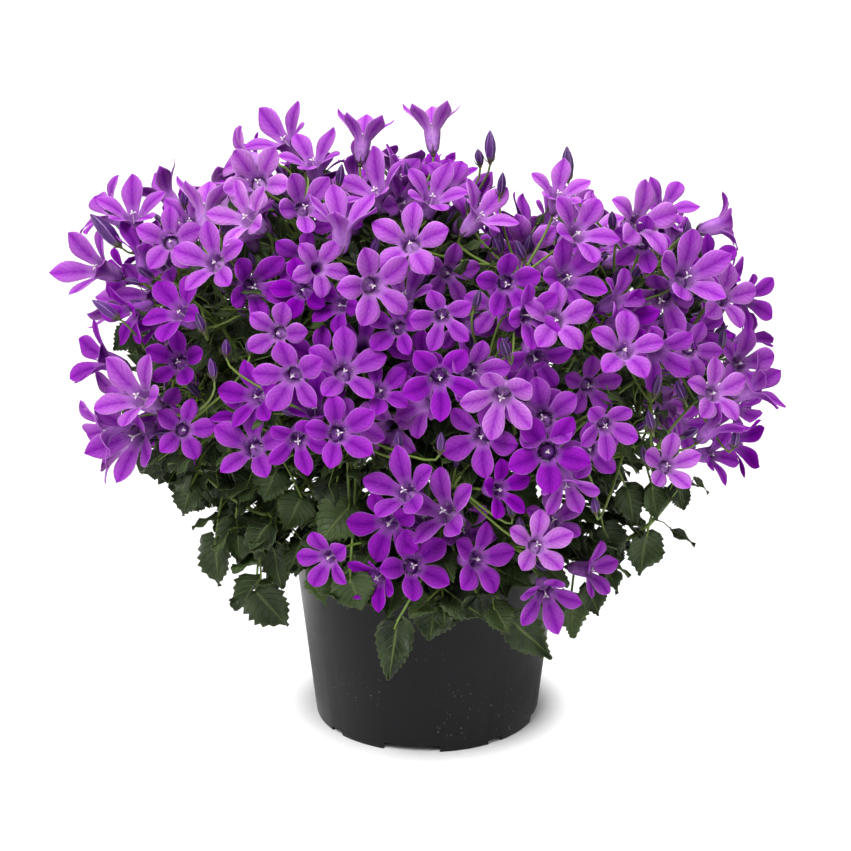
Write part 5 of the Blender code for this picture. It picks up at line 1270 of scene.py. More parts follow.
def leaf_shape(name, rows, columns, tooth, droop, seed, crinkle, thickness=0.018):
    draw = random.Random(seed)
    points, charts = [], []
    for j in range(rows):
        x = j / (rows - 1)
        for k in range(columns):
            u = 2.0 * k / (columns - 1) - 1.0
            out = u * half_width(x)
            back = 0.13 * abs(u) ** 2 * max(0.0, 1.0 - x * 2.2)
            if k in (0, columns - 1) and 0 < j < rows - 1 and j % 2 == 1:
                out *= 1.0 + tooth * draw.uniform(0.7, 1.3)
                back -= 0.03
            z = -droop * x * x + 0.24 * abs(out) - 0.30 * out * out
            z += 0.035 * math.cos(2 * math.pi * (x - 0.28 * abs(u)) * 7) * abs(u) * (1 - x)
            z += 0.045 * math.sin(5 * x + 3 * u + seed) + crinkle * math.sin(9 * x + seed) * u * u * u
            points.append(Vector((x - back, out, z)))
            charts.append(((u + 1) / 2, x))
    faces = [face[::-1] for face in band(0, columns, rows)]
    return sheet_with_skin(name, points, faces, charts, thickness, 1e-5)


leaf_shapes = shape_collection("leaves", [
    leaf_shape("leaf_1", 19, 9, 0.17, 0.12, 1, 0.05), leaf_shape("leaf_2", 17, 9, 0.20, 0.24, 2, -0.08),
    leaf_shape("leaf_3", 19, 9, 0.14, 0.03, 3, 0.10), leaf_shape("leaf_4", 17, 9, 0.18, -0.08, 4, 0.06),
])
small_shapes = shape_collection("small_leaves", [
    leaf_shape("small_1", 8, 3, 0.22, 0.12, 4, 0.05, 0.03),
    leaf_shape("small_2", 6, 3, 0.16, 0.26, 5, 0.1, 0.03),
    leaf_shape("small_3", 5, 3, 0.10, 0.05, 6, 0.1, 0.04),
])

# %% [markdown]
# ## What grows on each solid
# For every node of the part a list is kept of the lines and shapes that belong to it. The plan fills the
# lists first: its bells, buds, leaves and stems, at the very places of the plain solids. Each bell is
# tilted a little against its plain one, and takes one of six forms and a tone, as no two grown bells are
# the same. The tone carries painted light: darker for bells sunk in the dome, as painted shade, and
# lighter for bells high up, as painted light.

# %% Lists for each node
looks = random.Random(7)
BELL_TILT = 0.26
DEEP_BLOOMS = (8.0 * MM, 60.0 * MM)
SUNLIT_ROW = 230
FACING_UP = 0.6
UPRIGHT_FORMS = (1, 5)
lines, thin_lines, bell_places, cup_places, bud_places, leaf_places, small_places = (
    {name: [] for name in frame["nodes"]} for _ in range(7)
)


def random_way(*spans):
    """A vector whose parts are drawn between these limits."""
    return Vector([looks.uniform(low, high) for low, high in spans])


def even(size):
    return Vector((size, size, size))


def stalk(node, start, away, end, width, end_width):
    """A stalk that leaves a flower along its axis and bends in one easy curve to its joint."""
    reach = (end - start).length
    first = start + away * min(0.38 * reach, 9.0 * MM)
    second = end.lerp(first, 0.35)
    line = []
    for i in range(8):
        t = i / 7
        spot = start * (1 - t) ** 3 + first * 3 * t * (1 - t) ** 2
        spot = spot + second * 3 * t * t * (1 - t) + end * t ** 3
        line.append((spot, width + (end_width - width) * t))
    lines[node].append(line)


def grow_bell(node, throat, base, facing, petal, scale, form, shade, joint, width, end_width):
    """A bell, its cup with the sepals, and its stalk."""
    turned = frame_of(petal, facing)
    bell_places[node].append((throat, turned, even(scale), form, shade))
    cup_places[node].append((base, turned, even(scale), form % 2, shade))
    stalk(node, base - facing * 2.0 * MM, -facing, joint, width * MM, end_width * MM)


# %% The bells of the plan
for name, throat, facing, petal, radius, joint in bells:
    scale = radius / BLOOM_RADIUS
    facing = (facing + random_way(*[(-BELL_TILT, BELL_TILT)] * 3)).normalized()
    base = throat - facing * TUBE_LENGTH * scale
    column, row = seen_at(throat)
    # Painted light in the tone: bells sunk behind the dome's surface get a darker one, as painted shade, and
    # bells high in the view a lighter one, as painted light.
    sunk = canopy_depth(column, row) - (throat - VIEW_POINT).dot(TOWARD)
    deep = DEEP_BLOOMS[0] < sunk < DEEP_BLOOMS[1]
    shade = looks.uniform(0.0, 0.45) if deep else looks.uniform(0.08, 0.9)
    shade += 0.35 if row < SUNLIT_ROW else 0.0
    form = looks.randrange(len(BELL_FORMS))
    if facing.dot(UP) > FACING_UP:
        form = looks.choice(UPRIGHT_FORMS)
    grow_bell(name, throat, base, facing, petal, scale, form, shade, joint, 0.55, 0.75)

# %% The buds of the plan
for name, base, tip, width, joint in buds:
    along = (tip - base).normalized()
    length = (tip - base).length
    turned = frame_of(Vector((0.3, 0.9, 0.2)), along)
    shade = looks.random()
    size = Vector((width * 1.1, width * 1.1, length))
    bud_places[name].append((base, turned, size, looks.randrange(2), shade))
    cup_places[name].append((base, turned, even(0.55 + 0.1 * looks.random()), looks.randrange(2), shade))
    stalk(name, base - along * 1.2 * MM, -along, joint, 0.5 * MM, 0.7 * MM)

# %% The leaves and stems of the plan
for name, base, tip, up, width, stops in leaves:
    length = (tip - base).length
    along = (tip - base).normalized()
    up = flatten(up, along)
    turned = Matrix((along, up.cross(along), up)).transposed()
    size = Vector((length, width, length))
    leaf_places[name].append((base, turned, size, looks.randrange(4), looks.random()))
    stops = stops + [base, base + along * 0.1 * length]
    lines[name].append(soft_line(stops, [0.7 * MM] + [0.6 * MM] * (len(stops) - 2) + [0.25 * MM], 3))

for name, routes in stems:
    trunk = routes[0]
    lines[name].append(soft_line(trunk, [STEM_RADIUS, STEM_RADIUS * 0.95, STEM_RADIUS * 0.85], 4))
    for route in routes[1:]:
        widths = [FORK_RADIUS] + [FORK_RADIUS * 0.9] * (len(route) - 2) + [FORK_RADIUS * 0.75]
        lines[name].append(soft_line(route, widths, 4))
for head in heads:
    stops = [head.foot, head.foot.lerp(head.top, 0.5), head.top]
    lines[head.name].append(soft_line(stops, [0.95 * MM, 0.85 * MM, 0.6 * MM], 3))
print("lines from the plan:", sum(len(own) for own in lines.values()))

# %% [markdown]
# ## Blooms in the shade
# Behind the front row the photograph shows more bells, half hidden and a deep violet. They have coarser
# shapes and a darker tone, which is painted shade, and each is tried first as a plain form, so that none
# runs through a solid of the part or through another.

# %% Plain forms
def plain_bell(throat, facing, petal, radius):
    """Corners and triangles of a bell without its stalk: five petals round a cone."""
    unit = radius / BLOOM_RADIUS * MM
    side = facing.cross(petal)

    def at(degrees, out, height):
        turn = math.radians(degrees)
        return throat + ((petal * math.cos(turn) + side * math.sin(turn)) * out + facing * height) * unit

    points = [at(0, 0.0, -15.0)] + [at(SECTOR / 2 + SECTOR * i, 5.0, 0.0) for i in range(PETALS)]
    faces = []
    for i in range(PETALS):
        low, high = (i - 1) % PETALS + 1, i + 1
        turn = SECTOR * i
        points += [at(turn - 24, 12.2, 4.0), at(turn, 18.3, 5.2), at(turn + 24, 12.2, 4.0)]
        right, tip, left = len(points) - 3, len(points) - 2, len(points) - 1
        faces += [[0, low, high], [low, right, high], [right, left, high], [right, tip, left]]
    return points, faces


def tree_of(plain_forms):
    """One tree of the faces of several plain forms."""
    points, faces = [], []
    for corners, rings in plain_forms:
        faces += [[len(points) + i for i in ring] for ring in rings]
        points += corners
    return BVHTree.FromPolygons(points, faces, epsilon=0.0)


# %% Where a stalk can join
LOWEST_JOINT = SOIL_TOP + 4.0 * MM


def joint_on(head, base, back=9.0 * MM):
    """Where a stalk joins its head's stalk."""
    reach = (head.top - head.foot).length
    along = (base - head.foot).dot((head.top - head.foot).normalized()) - back
    return joint_at(head, min(max(along, 5.0 * MM), reach - 0.6 * MM))


def nearest_stem_point(spot):
    """The closest point on any leafy stem's lines, with its distance and stem."""
    best = None
    for name, routes in stems:
        for route in routes:
            for a, b in zip(route, route[1:]):
                for t in (0.15, 0.4, 0.65, 0.9):
                    point = a.lerp(b, t)
                    if point.z > LOWEST_JOINT and (best is None or (point - spot).length < best[0]):
                        best = ((point - spot).length, name, point)
    return best


solid_trees = {
    name: tree_of([([v.co.copy() for v in ob.data.vertices], [list(p.vertices) for p in ob.data.polygons])])
    for name, ob in frame["nodes"].items()
}

# %% Spots inside the dome
SOIL_CLEAR = 96.0 * MM
POT_CLEAR = 120.0 * MM
POT_CLEAR_RADIUS = 40.0 * MM


def dome_spot(low, high):
    """A seeded spot inside the dome, between two shares of the way to its surface."""
    while True:
        way = Vector((looks.gauss(0, 1), looks.gauss(0, 1), looks.gauss(0, 1))).normalized()
        spot = REAR_CENTRE + (on_dome(way) - REAR_CENTRE) * looks.uniform(low, high) ** 0.7
        if spot.z > SOIL_CLEAR and (spot.z > POT_CLEAR or Vector((spot.x, spot.y)).length > POT_CLEAR_RADIUS):
            return spot, way


# %% Blooms inside the dome
INNER_BLOOMS = 105
LONGEST_BELL_STALK = 45.0 * MM
LOWEST_INNER_ROW = 440
plain_forms = [plain_bell(*bell[1:5]) for bell in bells]
inner_trees = []
for _ in range(900):
    if len(inner_trees) == INNER_BLOOMS:
        break
    spot, way = dome_spot(0.62, 0.97)
    column, row = seen_at(spot)
    spot = spot + UP * min(0.0, row - row_on(SKYLINE, column) - REAR_MARGIN) * METRES_PER_PIXEL
    facing = (way + random_way((-0.7, 0.7), (-0.9, 0.5), (-0.5, 0.7))).normalized()
    petal = flatten(random_way((-1, 1), (-1, 1), (-1, 1)), facing)
    radius = BLOOM_RADIUS * looks.uniform(0.72, 0.95)
    base = spot - facing * TUBE_LENGTH * radius / BLOOM_RADIUS
    head = min(heads, key=lambda h: (h.top - base).length)
    joint = joint_on(head, base)
    if (joint - base).length > LONGEST_BELL_STALK or seen_at(spot)[1] > LOWEST_INNER_ROW:
        continue
    plain = plain_bell(spot, facing, petal, radius)
    tree = tree_of([plain])
    if any(tree.overlap(other) for other in (*solid_trees.values(), *inner_trees)):
        continue
    plain_forms.append(plain)
    inner_trees.append(tree)
    # A darker tone for the blooms inside: painted shade.
    shade = looks.uniform(0.0, 0.6)
    form = len(BELL_FORMS) + looks.randrange(len(INNER_FORMS))
    grow_bell(head.name, spot, base, facing, petal, radius / BLOOM_RADIUS, form, shade, joint, 0.5, 0.65)
print("blooms inside the dome:", len(inner_trees))

# %% [markdown]
# ## The green inside of the dome
# Between the blooms the photograph shows no air but a dense, dark tangle of small leaves, thin stalks and
# young buds. It is far too fine for plain solids. Here a seeded rule draws spots inside the dome, joins
# each to the nearest stem by a thin curved stalk, and ends it in a leaf. A spot is dropped when its leaf
# would run through a bloom, which one tree of all bells' faces tells.

# %% The tree of all blooms
for name, base, tip, width, joint in buds:
    aside = rolled((tip - base).normalized(), 0.0) * width
    waist = base.lerp(tip, 0.4)
    plain_forms.append(([base, waist + aside, tip, waist - aside], [[0, 1, 2, 3]]))
bloom_tree = tree_of(plain_forms)
print("plain forms to keep clear of:", len(plain_forms))


def leaf_is_free(base, tip, across, width, air=0.8 * MM):
    """Whether a leaf, taken as a flat patch, keeps this much air from every bloom and clears the pot."""
    waist = base.lerp(tip, 0.4)
    left, right = waist + across * width / 2, waist - across * width / 2
    patch = tree_of([([base, left, tip, right], [[0, 1, 2, 3]])])
    if patch.overlap(bloom_tree) or patch.overlap(solid_trees["pot"]):
        return False
    return all(bloom_tree.find_nearest(p, air)[0] is None for p in (left, tip, right, base.lerp(tip, 0.5)))


def clear_way(start, end):
    """Whether nothing of a bloom crosses the straight line between two points."""
    way = end - start
    return bloom_tree.ray_cast(start, way.normalized(), way.length)[0] is None


# %% A leaf on its stalk
LARGE_LEAF = 3
GROUND_AIR = 4.0 * MM


def sprout(node, joint, base, along, up, length, width, kind, shade):
    """A leaf on a stalk, where there is room for it. Kinds 0 to 2 are small leaves, 3 to 5 large ones."""
    along = along.normalized()
    up = flatten(up, along)
    across = up.cross(along)
    tip = base + along * length
    if min(base.z, tip.z) < GROUND_AIR or not leaf_is_free(base, tip, across, width):
        return False
    small = kind < LARGE_LEAF
    turned = Matrix((along, across, up)).transposed()
    target = small_places if small else leaf_places
    target[node].append((base, turned, Vector((length, width, length)), kind % 3, shade))
    middle = joint.lerp(base, 0.5) + up * 0.12 * (base - joint).length
    slim = 0.36 * MM if small else 0.55 * MM
    points = [joint, middle, base, base + along * 0.15 * length]
    widths = [slim * 1.2, slim, slim * 0.9, slim * 0.4]
    if small:
        thin_lines[node].append(list(zip(points, widths)))
    else:
        lines[node].append(soft_line(points, widths, 2))
    return True


# %% Leaves inside the dome
INNER_LEAVES = 1750
LEAF_DEPTH = 110.0 * MM
HIGH_UP = 150.0 * MM
LONGEST_STALK_HIGH = 48.0 * MM
LONGEST_STALK_LOW = 22.0 * MM
wanted = INNER_LEAVES
grown_leaves = 0
for _ in range(wanted * 3):
    spot, way = dome_spot(0.05, 0.88)
    distance, node, joint = nearest_stem_point(spot)
    longest = LONGEST_STALK_HIGH if spot.z > HIGH_UP else LONGEST_STALK_LOW
    if distance > longest or not clear_way(joint, spot):
        continue
    sway = random_way((-1, 1), (-1, 1), (-0.8, 0.6))
    along = (way + sway * 0.8).normalized()
    up = Vector((way.x * 0.5, way.y * 0.5, 1.0)) + sway * 0.3
    depth = (spot - REAR_CENTRE).length / LEAF_DEPTH
    length = looks.uniform(8.0, 19.0 - 6.0 * min(depth, 1.0)) * MM
    # Leaves nearer the dome's middle get a darker tone: painted shade.
    shade = looks.random() * depth * depth
    width = length * looks.uniform(0.32, 0.7)
    grown_leaves += sprout(node, joint, spot, along, up, length, width, looks.randrange(3), shade)
    if grown_leaves == wanted:
        break
print("leaves inside the dome:", grown_leaves)

# %% [markdown]
# The photograph shows hardly any daylight through the dome. So the view is tried ray by ray, and wherever
# one gets through, a dark leaf is hung in its way from the nearest flower stalk. Its dark tone is painted
# shade.

# %% Leaves behind the gaps
GAP_ROWS = range(140, 505, 5)
GAP_COLUMNS = range(145, 715, 5)
BELOW_SKYLINE = 38.0
SKIPPED_RAYS = 0.4
LONGEST_GAP_STALK = 38.0 * MM
LEAF_PATCH = ((0.0, 0.0), (0.4, 0.4), (1.0, 0.0), (0.4, -0.4))


def leaf_tree():
    """One tree of the blooms and of every leaf that has grown so far."""
    blades = []
    for own in (*leaf_places.values(), *small_places.values()):
        for place, turned, size, form, shade in own:
            corners = [place + turned @ Vector((x * size.x, y * size.y, 0.0)) for x, y in LEAF_PATCH]
            blades.append((corners, [[0, 1, 2, 3]]))
    return tree_of(plain_forms + blades)


eye = camera.location.copy()
behind = 0
for _ in range(5):
    screen = leaf_tree()
    for row in GAP_ROWS:
        for column in GAP_COLUMNS:
            if not row_on(SKYLINE, column) + BELOW_SKYLINE < row < row_on(LOWER_LINE, column):
                continue
            away = (from_view(column, row, 0.0) - eye).normalized()
            if screen.ray_cast(eye, away)[0] is not None or looks.random() < SKIPPED_RAYS:
                continue
            spot = from_view(column, row, looks.uniform(-75.0, 15.0) * MM)
            head = min(heads, key=lambda h: (h.top - spot).length)
            joint = joint_on(head, spot)
            if (joint - spot).length > LONGEST_GAP_STALK:
                continue
            sway = random_way((-1, 1), (-0.3, 0.3), (-1, 1))
            length = looks.uniform(9.0, 16.0) * MM
            base = spot - sway.normalized() * length * 0.45
            width = length * looks.uniform(0.4, 0.65)
            up = TOWARD + UP * 0.3
            # The low tone darkens the leaf as painted shade.
            behind += sprout(head.name, joint, base, sway, up, length, width, 2, looks.uniform(0.0, 0.5))
print("leaves behind the gaps:", behind)

# %% [markdown]
# ### Bracts and young buds on the flower stalks
# Each flower head carries narrow bracts up its stalk and a few buds that haven't opened yet.

# %% Bracts and young buds
def aside_from(axis):
    """A seeded direction square to an axis."""
    turn = looks.uniform(0.0, math.tau)
    return frame_of(Vector((0.2, 0.3, 0.9)), axis) @ level(turn)


BRACTS_A_HEAD = 9
YOUNG_BUDS_A_HEAD = 5
young = bracts = 0
for head in heads:
    axis = (head.top - head.foot).normalized()
    for i in range(BRACTS_A_HEAD):
        foot = head.foot.lerp(head.top, looks.random())
        side = aside_from(axis)
        along = side + axis * looks.uniform(0.4, 1.2)
        length = looks.uniform(6.0, 12.0) * MM
        start = foot + side * looks.uniform(0.6, 7.0) * MM
        up, width = axis - side * 0.4, length * 0.42
        bracts += sprout(head.name, foot, start, along, up, length, width, 1 + i % 2, looks.random())
    for _ in range(YOUNG_BUDS_A_HEAD):
        side = aside_from(axis)
        foot = head.foot.lerp(head.top, looks.uniform(0.5, 1.0))
        base = foot + (side * looks.uniform(5.0, 16.0) + axis * looks.uniform(6.0, 20.0)) * MM
        along = (axis + side * 0.5).normalized()
        length = looks.uniform(6.0, 12.0) * MM
        tip = base + along * length
        across = flatten(side.cross(axis), along)
        if not leaf_is_free(base, tip, across, length * 0.4, 1.6 * MM) or not clear_way(foot, base):
            continue
        turned = frame_of(across, along)
        shade = looks.random()
        size = Vector((length * 0.34, length * 0.34, length))
        bud_places[head.name].append((base, turned, size, looks.randrange(2), shade))
        cup_places[head.name].append((base, turned, even(0.45), 1, shade))
        stalk(head.name, base - along * 1.0 * MM, -along, foot, 0.4 * MM, 0.5 * MM)
        young += 1
print("bracts:", bracts, "young buds:", young)

# %% [markdown]
# ### The skirt of leaves over the rim
# Round the pot's rim the plant's oldest leaves hang down and hide the soil and the rim. They are larger
# and toothed like the leaves of the plan, and some end stout yellow-green shoots that arch outwards.

# %% Shoots that arch over the rim
SHOOTS = 26
SHOOT_FOOT_OUT = 34.0
SHOOT_FOOT_HEIGHT = 98.0
shoots = 0
for i in range(SHOOTS):
    out = level(math.tau * (i + looks.uniform(-0.3, 0.3)) / SHOOTS)
    _, node, foot = nearest_stem_point(out * SHOOT_FOOT_OUT * MM + ABOVE * SHOOT_FOOT_HEIGHT * MM)
    reach = looks.uniform(66.0, 88.0) * MM
    end = out * reach + Vector((0.0, 0.0, looks.uniform(96.0, 118.0) * MM))
    top = foot.lerp(end, 0.5) + Vector((0.0, 0.0, looks.uniform(10.0, 20.0) * MM))
    if not clear_way(foot, top) or not clear_way(top, end):
        continue
    lines[node].append(soft_line([foot, top, end], [1.25 * MM, 1.05 * MM, 0.7 * MM], 5))
    shoots += 1
    for side in (-1.0, 0.0, 1.0):
        along = out + Vector((-out.y, out.x, 0.0)) * side + Vector((0.0, 0.0, looks.uniform(-0.9, -0.1)))
        length = looks.uniform(13.0, 21.0) * MM
        base = end + along * looks.uniform(2.0, 7.0) * MM
        sprout(node, end, base, along, ABOVE + out, length, length * 0.8, LARGE_LEAF + i % 3, looks.random())
print("shoots over the rim:", shoots)

# %% Leaves round the rim
RIM_LEAVES = 150
OVER_THE_POT = 74.0
LOWEST_OVER_POT = 92.0
LONGEST_RIM_STALK = 55.0 * MM
skirt = 0
for i in range(RIM_LEAVES):
    out = level(math.tau * looks.random())
    radius = looks.uniform(40.0, 92.0)
    height = looks.uniform(90.0, 128.0) - max(0.0, radius - 66.0) * 0.35
    spot = out * radius * MM + Vector((0.0, 0.0, height * MM))
    if radius < OVER_THE_POT and height < LOWEST_OVER_POT:
        continue
    distance, node, joint = nearest_stem_point(spot)
    if distance > LONGEST_RIM_STALK:
        continue
    droop = looks.uniform(-0.9, 0.1)
    along = out + Vector((looks.uniform(-0.7, 0.7), looks.uniform(-0.7, 0.7), droop))
    length = looks.uniform(14.0, 23.0) * MM
    up = ABOVE + out * looks.uniform(0.3, 1.0)
    width = length * looks.uniform(0.7, 0.9)
    skirt += sprout(node, joint, spot, along, up, length, width, LARGE_LEAF + i % 3, looks.random())
print("leaves round the rim:", skirt)

# %% [markdown]
# ## Growing the plant
# Now each list becomes a mesh. For a flower head the violet and the green are kept as two pieces, because
# each takes its own finish; for a leafy stem there is one piece.

# %% Grow every head and stem
def joined(name, obs):
    """Several plain objects as one, which keeps each one's finish in its own slot."""
    with bpy.context.temp_override(active_object=obs[0], selected_editable_objects=obs, selected_objects=obs):
        bpy.ops.object.join()
    obs[0].name = name
    obs[0].data.name = name
    return obs[0]


def with_forms(places, count):
    """The same places, with the numbers of their forms brought below this count."""
    return [(place, turned, size, form % count, shade) for place, turned, size, form, shade in places]


def shapes_of(name, *groups):
    """A plain object for each group of (places, shapes, finish) that has any place."""
    return [shapes_from(name, *group) for group in groups if group[0]]


total = 0
for name in sorted(frame["nodes"]):
    if name in ("pot", "root_ball"):
        continue
    open_bells = [place for place in bell_places[name] if place[3] < len(BELL_FORMS)]
    violet = shapes_of(
        name, (bell_places[name], bell_shapes, petal_finish),
        (with_forms(open_bells, 2), style_shapes, hair_finish),
        (with_forms(open_bells, 3), fuzz_shapes, hair_finish), (bud_places[name], bud_shapes, bud_finish),
    )
    green = shapes_of(
        name, (cup_places[name], cup_shapes, sepal_finish), (leaf_places[name], leaf_shapes, leaf_finish),
        (small_places[name], small_shapes, leaf_finish),
    )
    green.append(stems_from(name, lines[name], 6, stem_finish))
    if thin_lines[name]:
        green.append(stems_from(name, thin_lines[name], 3, stem_finish))
    for part, own, slot in (("_blooms", violet, "petal_violet"), ("_greens", green, "leaf_green")):
        if not own:
            continue
        piece = joined(name + part, own)
        total += count_of(piece)
        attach(piece, "root")
        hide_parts(name)
print("triangles in the plant:", total)

# %% [markdown]
# ## The pot
# The pot is thin black plastic with a straight tapered wall, a small lip, and a raised ring under its
# floor with cut-outs for water. It is a section turned round the upright axis, like the mould it came
# from. The corners of the section are softened first, so that each catches a line of light.

# %% The pot's section
POT_STEPS = 120
ON_AXIS = 1e-6


def soften(section, amount):
    """Each corner of a closed section cut into a short curve."""
    softened = []
    for i, (x, z) in enumerate(section):
        if x < ON_AXIS:
            softened.append((x, z))
            continue
        here, before, after = Vector((x, z)), Vector(section[i - 1]), Vector(section[(i + 1) % len(section)])
        a = here + (before - here).normalized() * min(amount, (before - here).length * 0.4)
        b = here + (after - here).normalized() * min(amount, (after - here).length * 0.4)
        for t in (0.0, 0.5, 1.0):
            spot = a * (1 - t) ** 2 + here * 2 * t * (1 - t) + b * t * t
            softened.append((spot.x, spot.y))
    return softened


def pot_profile():
    """The pot's section: down its outer side, under the floor, up the inside. Then the inside alone."""
    floor = POT_WALL + 0.3 * MM
    inner_foot = BASE_RADIUS - 1.2 * MM
    channel = BASE_RADIUS - CHANNEL_WIDTH
    slope = (RIM_RADIUS - LIP_STEP - BASE_RADIUS) / (POT_HEIGHT - LIP_HEIGHT)
    top_inside = RIM_RADIUS - LIP_STEP - POT_WALL
    low_inside = top_inside - slope * (POT_HEIGHT - CHANNEL_HEIGHT - floor)
    outer = [(RIM_RADIUS, POT_HEIGHT), (RIM_RADIUS, POT_HEIGHT - LIP_HEIGHT)]
    outer += [(RIM_RADIUS - LIP_STEP, POT_HEIGHT - LIP_HEIGHT - 1.0 * MM), (BASE_RADIUS, 0.0)]
    under = [(inner_foot, 0.0), (inner_foot, CHANNEL_HEIGHT), (channel, CHANNEL_HEIGHT)]
    under += [(channel - 1.0 * MM, 0.0), (0.0, 0.0)]
    inside = [(0.0, floor), (channel - 1.6 * MM, floor), (channel - 0.6 * MM, CHANNEL_HEIGHT + floor)]
    inside += [(low_inside, CHANNEL_HEIGHT + floor), (top_inside, POT_HEIGHT)]
    return outer + under + inside, inside


def turned_shape(name, section, steps, closed=True):
    """A section turned round the upright axis, closed where it meets it."""
    points, faces, starts = [], [], []
    for x, z in section:
        starts.append((len(points), x < ON_AXIS))
        turns = [math.tau * k / steps for k in range(1 if x < ON_AXIS else steps)]
        points += [Vector((math.cos(turn) * x, math.sin(turn) * x, z)) for turn in turns]
    pairs = list(zip(starts, starts[1:] + starts[:1]))
    for (a, a_on_axis), (b, b_on_axis) in pairs if closed else pairs[:-1]:
        for k in range(0 if a_on_axis and b_on_axis else steps):
            n = (k + 1) % steps
            if a_on_axis:
                faces.append([a, b + n, b + k])
            elif b_on_axis:
                faces.append([a + k, a + n, b])
            else:
                faces.append([a + k, a + n, b + n, b + k])
    return plain_shape(name, points, faces)


# %% The black plastic
pot_finish, tree, shader = new_finish("pot_black_plastic", 0.42)
coords = own_coords(tree)
spots = fade(tree, grain(tree, coords, 900.0, 1.0), 0.71, 0.76)
low = add_node(tree, "ShaderNodeSeparateXYZ")
tree.links.new(coords, low.inputs[0])
dust = times(tree, spots, fade(tree, low.outputs["Z"], 0.075, 0.01))
dust = times(tree, dust, fade(tree, grain(tree, coords, 28.0, 1.0), 0.45, 0.62))
colour = blend(tree, grain(tree, coords, 40.0, 4.0), (0.0055, 0.0055, 0.0065), (0.0100, 0.0100, 0.0115))
colour = glaze(tree, colour, dust, 0.6, (0.35, 0.32, 0.28))
rough = plus(tree, times(tree, grain(tree, coords, 120.0, 5.0), 0.16), 0.24)
tree.links.new(rough, shader.inputs["Roughness"])
shader.inputs["Specular IOR Level"].default_value = 0.2
cover(tree, shader, colour, grain(tree, coords, 700.0), 0.2 * MM, 0.35)

# %% The pot, whole
pot_section, pot_inside = pot_profile()
pot = turned_shape("nursery_pot", soften(pot_section, 0.9 * MM), POT_STEPS)
scene.collection.objects.link(pot)
pot.data.materials.append(pot_finish)
print("pot before its cut-outs:", count_of(pot), "triangles")

# %% [markdown]
# The cut-outs and drain holes are blocks and drills taken away by Boolean modifiers, as a mould would
# leave them.

# %% Cut-outs and drain holes
SLOTS = 8
tools = []
for i in range(SLOTS):
    wide = i % 2 == 0
    turn = SLOT_TURN + math.tau * i / SLOTS
    height = CHANNEL_HEIGHT - 0.4 * MM if wide else 2.2 * MM
    bpy.ops.mesh.primitive_cube_add(size=1.0, rotation=(0.0, 0.0, turn))
    block = bpy.context.object
    block.scale = (6.0 * MM, WIDE_SLOT if wide else NARROW_SLOT, height * 2.0)
    block.location = (math.cos(turn) * BASE_RADIUS, math.sin(turn) * BASE_RADIUS, 0.0)
    tools.append(block)
    if wide:
        away = BASE_RADIUS - 0.5 * CHANNEL_WIDTH - 0.4 * MM
        bpy.ops.mesh.primitive_cylinder_add(vertices=24, radius=DRAIN_RADIUS, depth=8.0 * MM)
        drill = bpy.context.object
        drill.location = (math.cos(turn) * away, math.sin(turn) * away, CHANNEL_HEIGHT + 0.6 * MM)
        tools.append(drill)
for tool in tools:
    cut = pot.modifiers.new("cut", "BOOLEAN")
    cut.operation = "DIFFERENCE"
    cut.solver = "EXACT"
    cut.object = tool
cut_mesh = bpy.data.meshes.new_from_object(pot.evaluated_get(bpy.context.evaluated_depsgraph_get()))
pot.modifiers.clear()
pot.data = cut_mesh
for tool in tools:
    bpy.data.objects.remove(tool, do_unlink=True)
pot.data.set_sharp_from_angle(angle=math.radians(50))
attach(pot, "root")
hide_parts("pot")
print("pot:", count_of(pot), "triangles")

# %% [markdown]
# ## The soil
# Potting soil is crumbly peat with bits of bark and a few pale grains. The body is turned like the pot,
# its top pushed up and down by noise, and crumbs of two shapes lie on it, set by the same tree as the
# blooms.

# %% The soil's finish
SOIL_RINGS = 26
SOIL_STEPS = 110
CRUMBS = 420
soil_finish, tree, shader = new_finish("potting_soil", 0.95)
coords = own_coords(tree)
clods = grain(tree, coords, 350.0, 6.0, 0.7)
colour = blend(tree, fade(tree, clods, 0.3, 0.7), (0.012, 0.008, 0.005), (0.060, 0.036, 0.022))
colour = blend(tree, fade(tree, grain(tree, coords, 800.0, 1.0), 0.72, 0.76), colour, (0.35, 0.30, 0.24))
cover(tree, shader, colour, clods, 1.5 * MM, 1.0)

# %% The body of soil
_, (floor_edge, floor_top), (step_edge, _), (low_edge, step_top), (top_edge, _) = pot_inside
share = (SOIL_TOP - step_top) / (POT_HEIGHT - step_top)
soil_edge = low_edge + (top_edge - low_edge) * share - GAP * 1.3
section = [(0.0, SOIL_TOP + 1.0 * MM)]
section += [(soil_edge * k / SOIL_RINGS, SOIL_TOP + 0.7 * MM) for k in range(1, SOIL_RINGS)]
section += [(soil_edge, SOIL_TOP), (low_edge - GAP * 1.3, step_top + GAP)]
section += [(step_edge - GAP * 1.5, step_top + GAP)]
section += [(floor_edge - GAP * 1.5, floor_top + GAP), (0.0, floor_top + GAP)]
soil = turned_shape("soil", section, SOIL_STEPS, False)
for vert in soil.data.vertices:
    if vert.co.z > SOIL_TOP + 0.5 * MM:
        vert.co.z += noise.fractal(vert.co * 260.0, 0.8, 2.0, 4) * 1.1 * MM
scene.collection.objects.link(soil)
soil.data.materials.append(soil_finish)


# %% Crumbs
def crumb_shape(name, flat, seed):
    bm = bmesh.new()
    bmesh.ops.create_icosphere(bm, subdivisions=1, radius=0.5)
    for vert in bm.verts:
        vert.co *= 1.0 + 0.5 * noise.noise(vert.co * 2.3 + Vector((seed, 0, 0)))
        vert.co.z *= flat
    return outward_shape(name, bm, False)


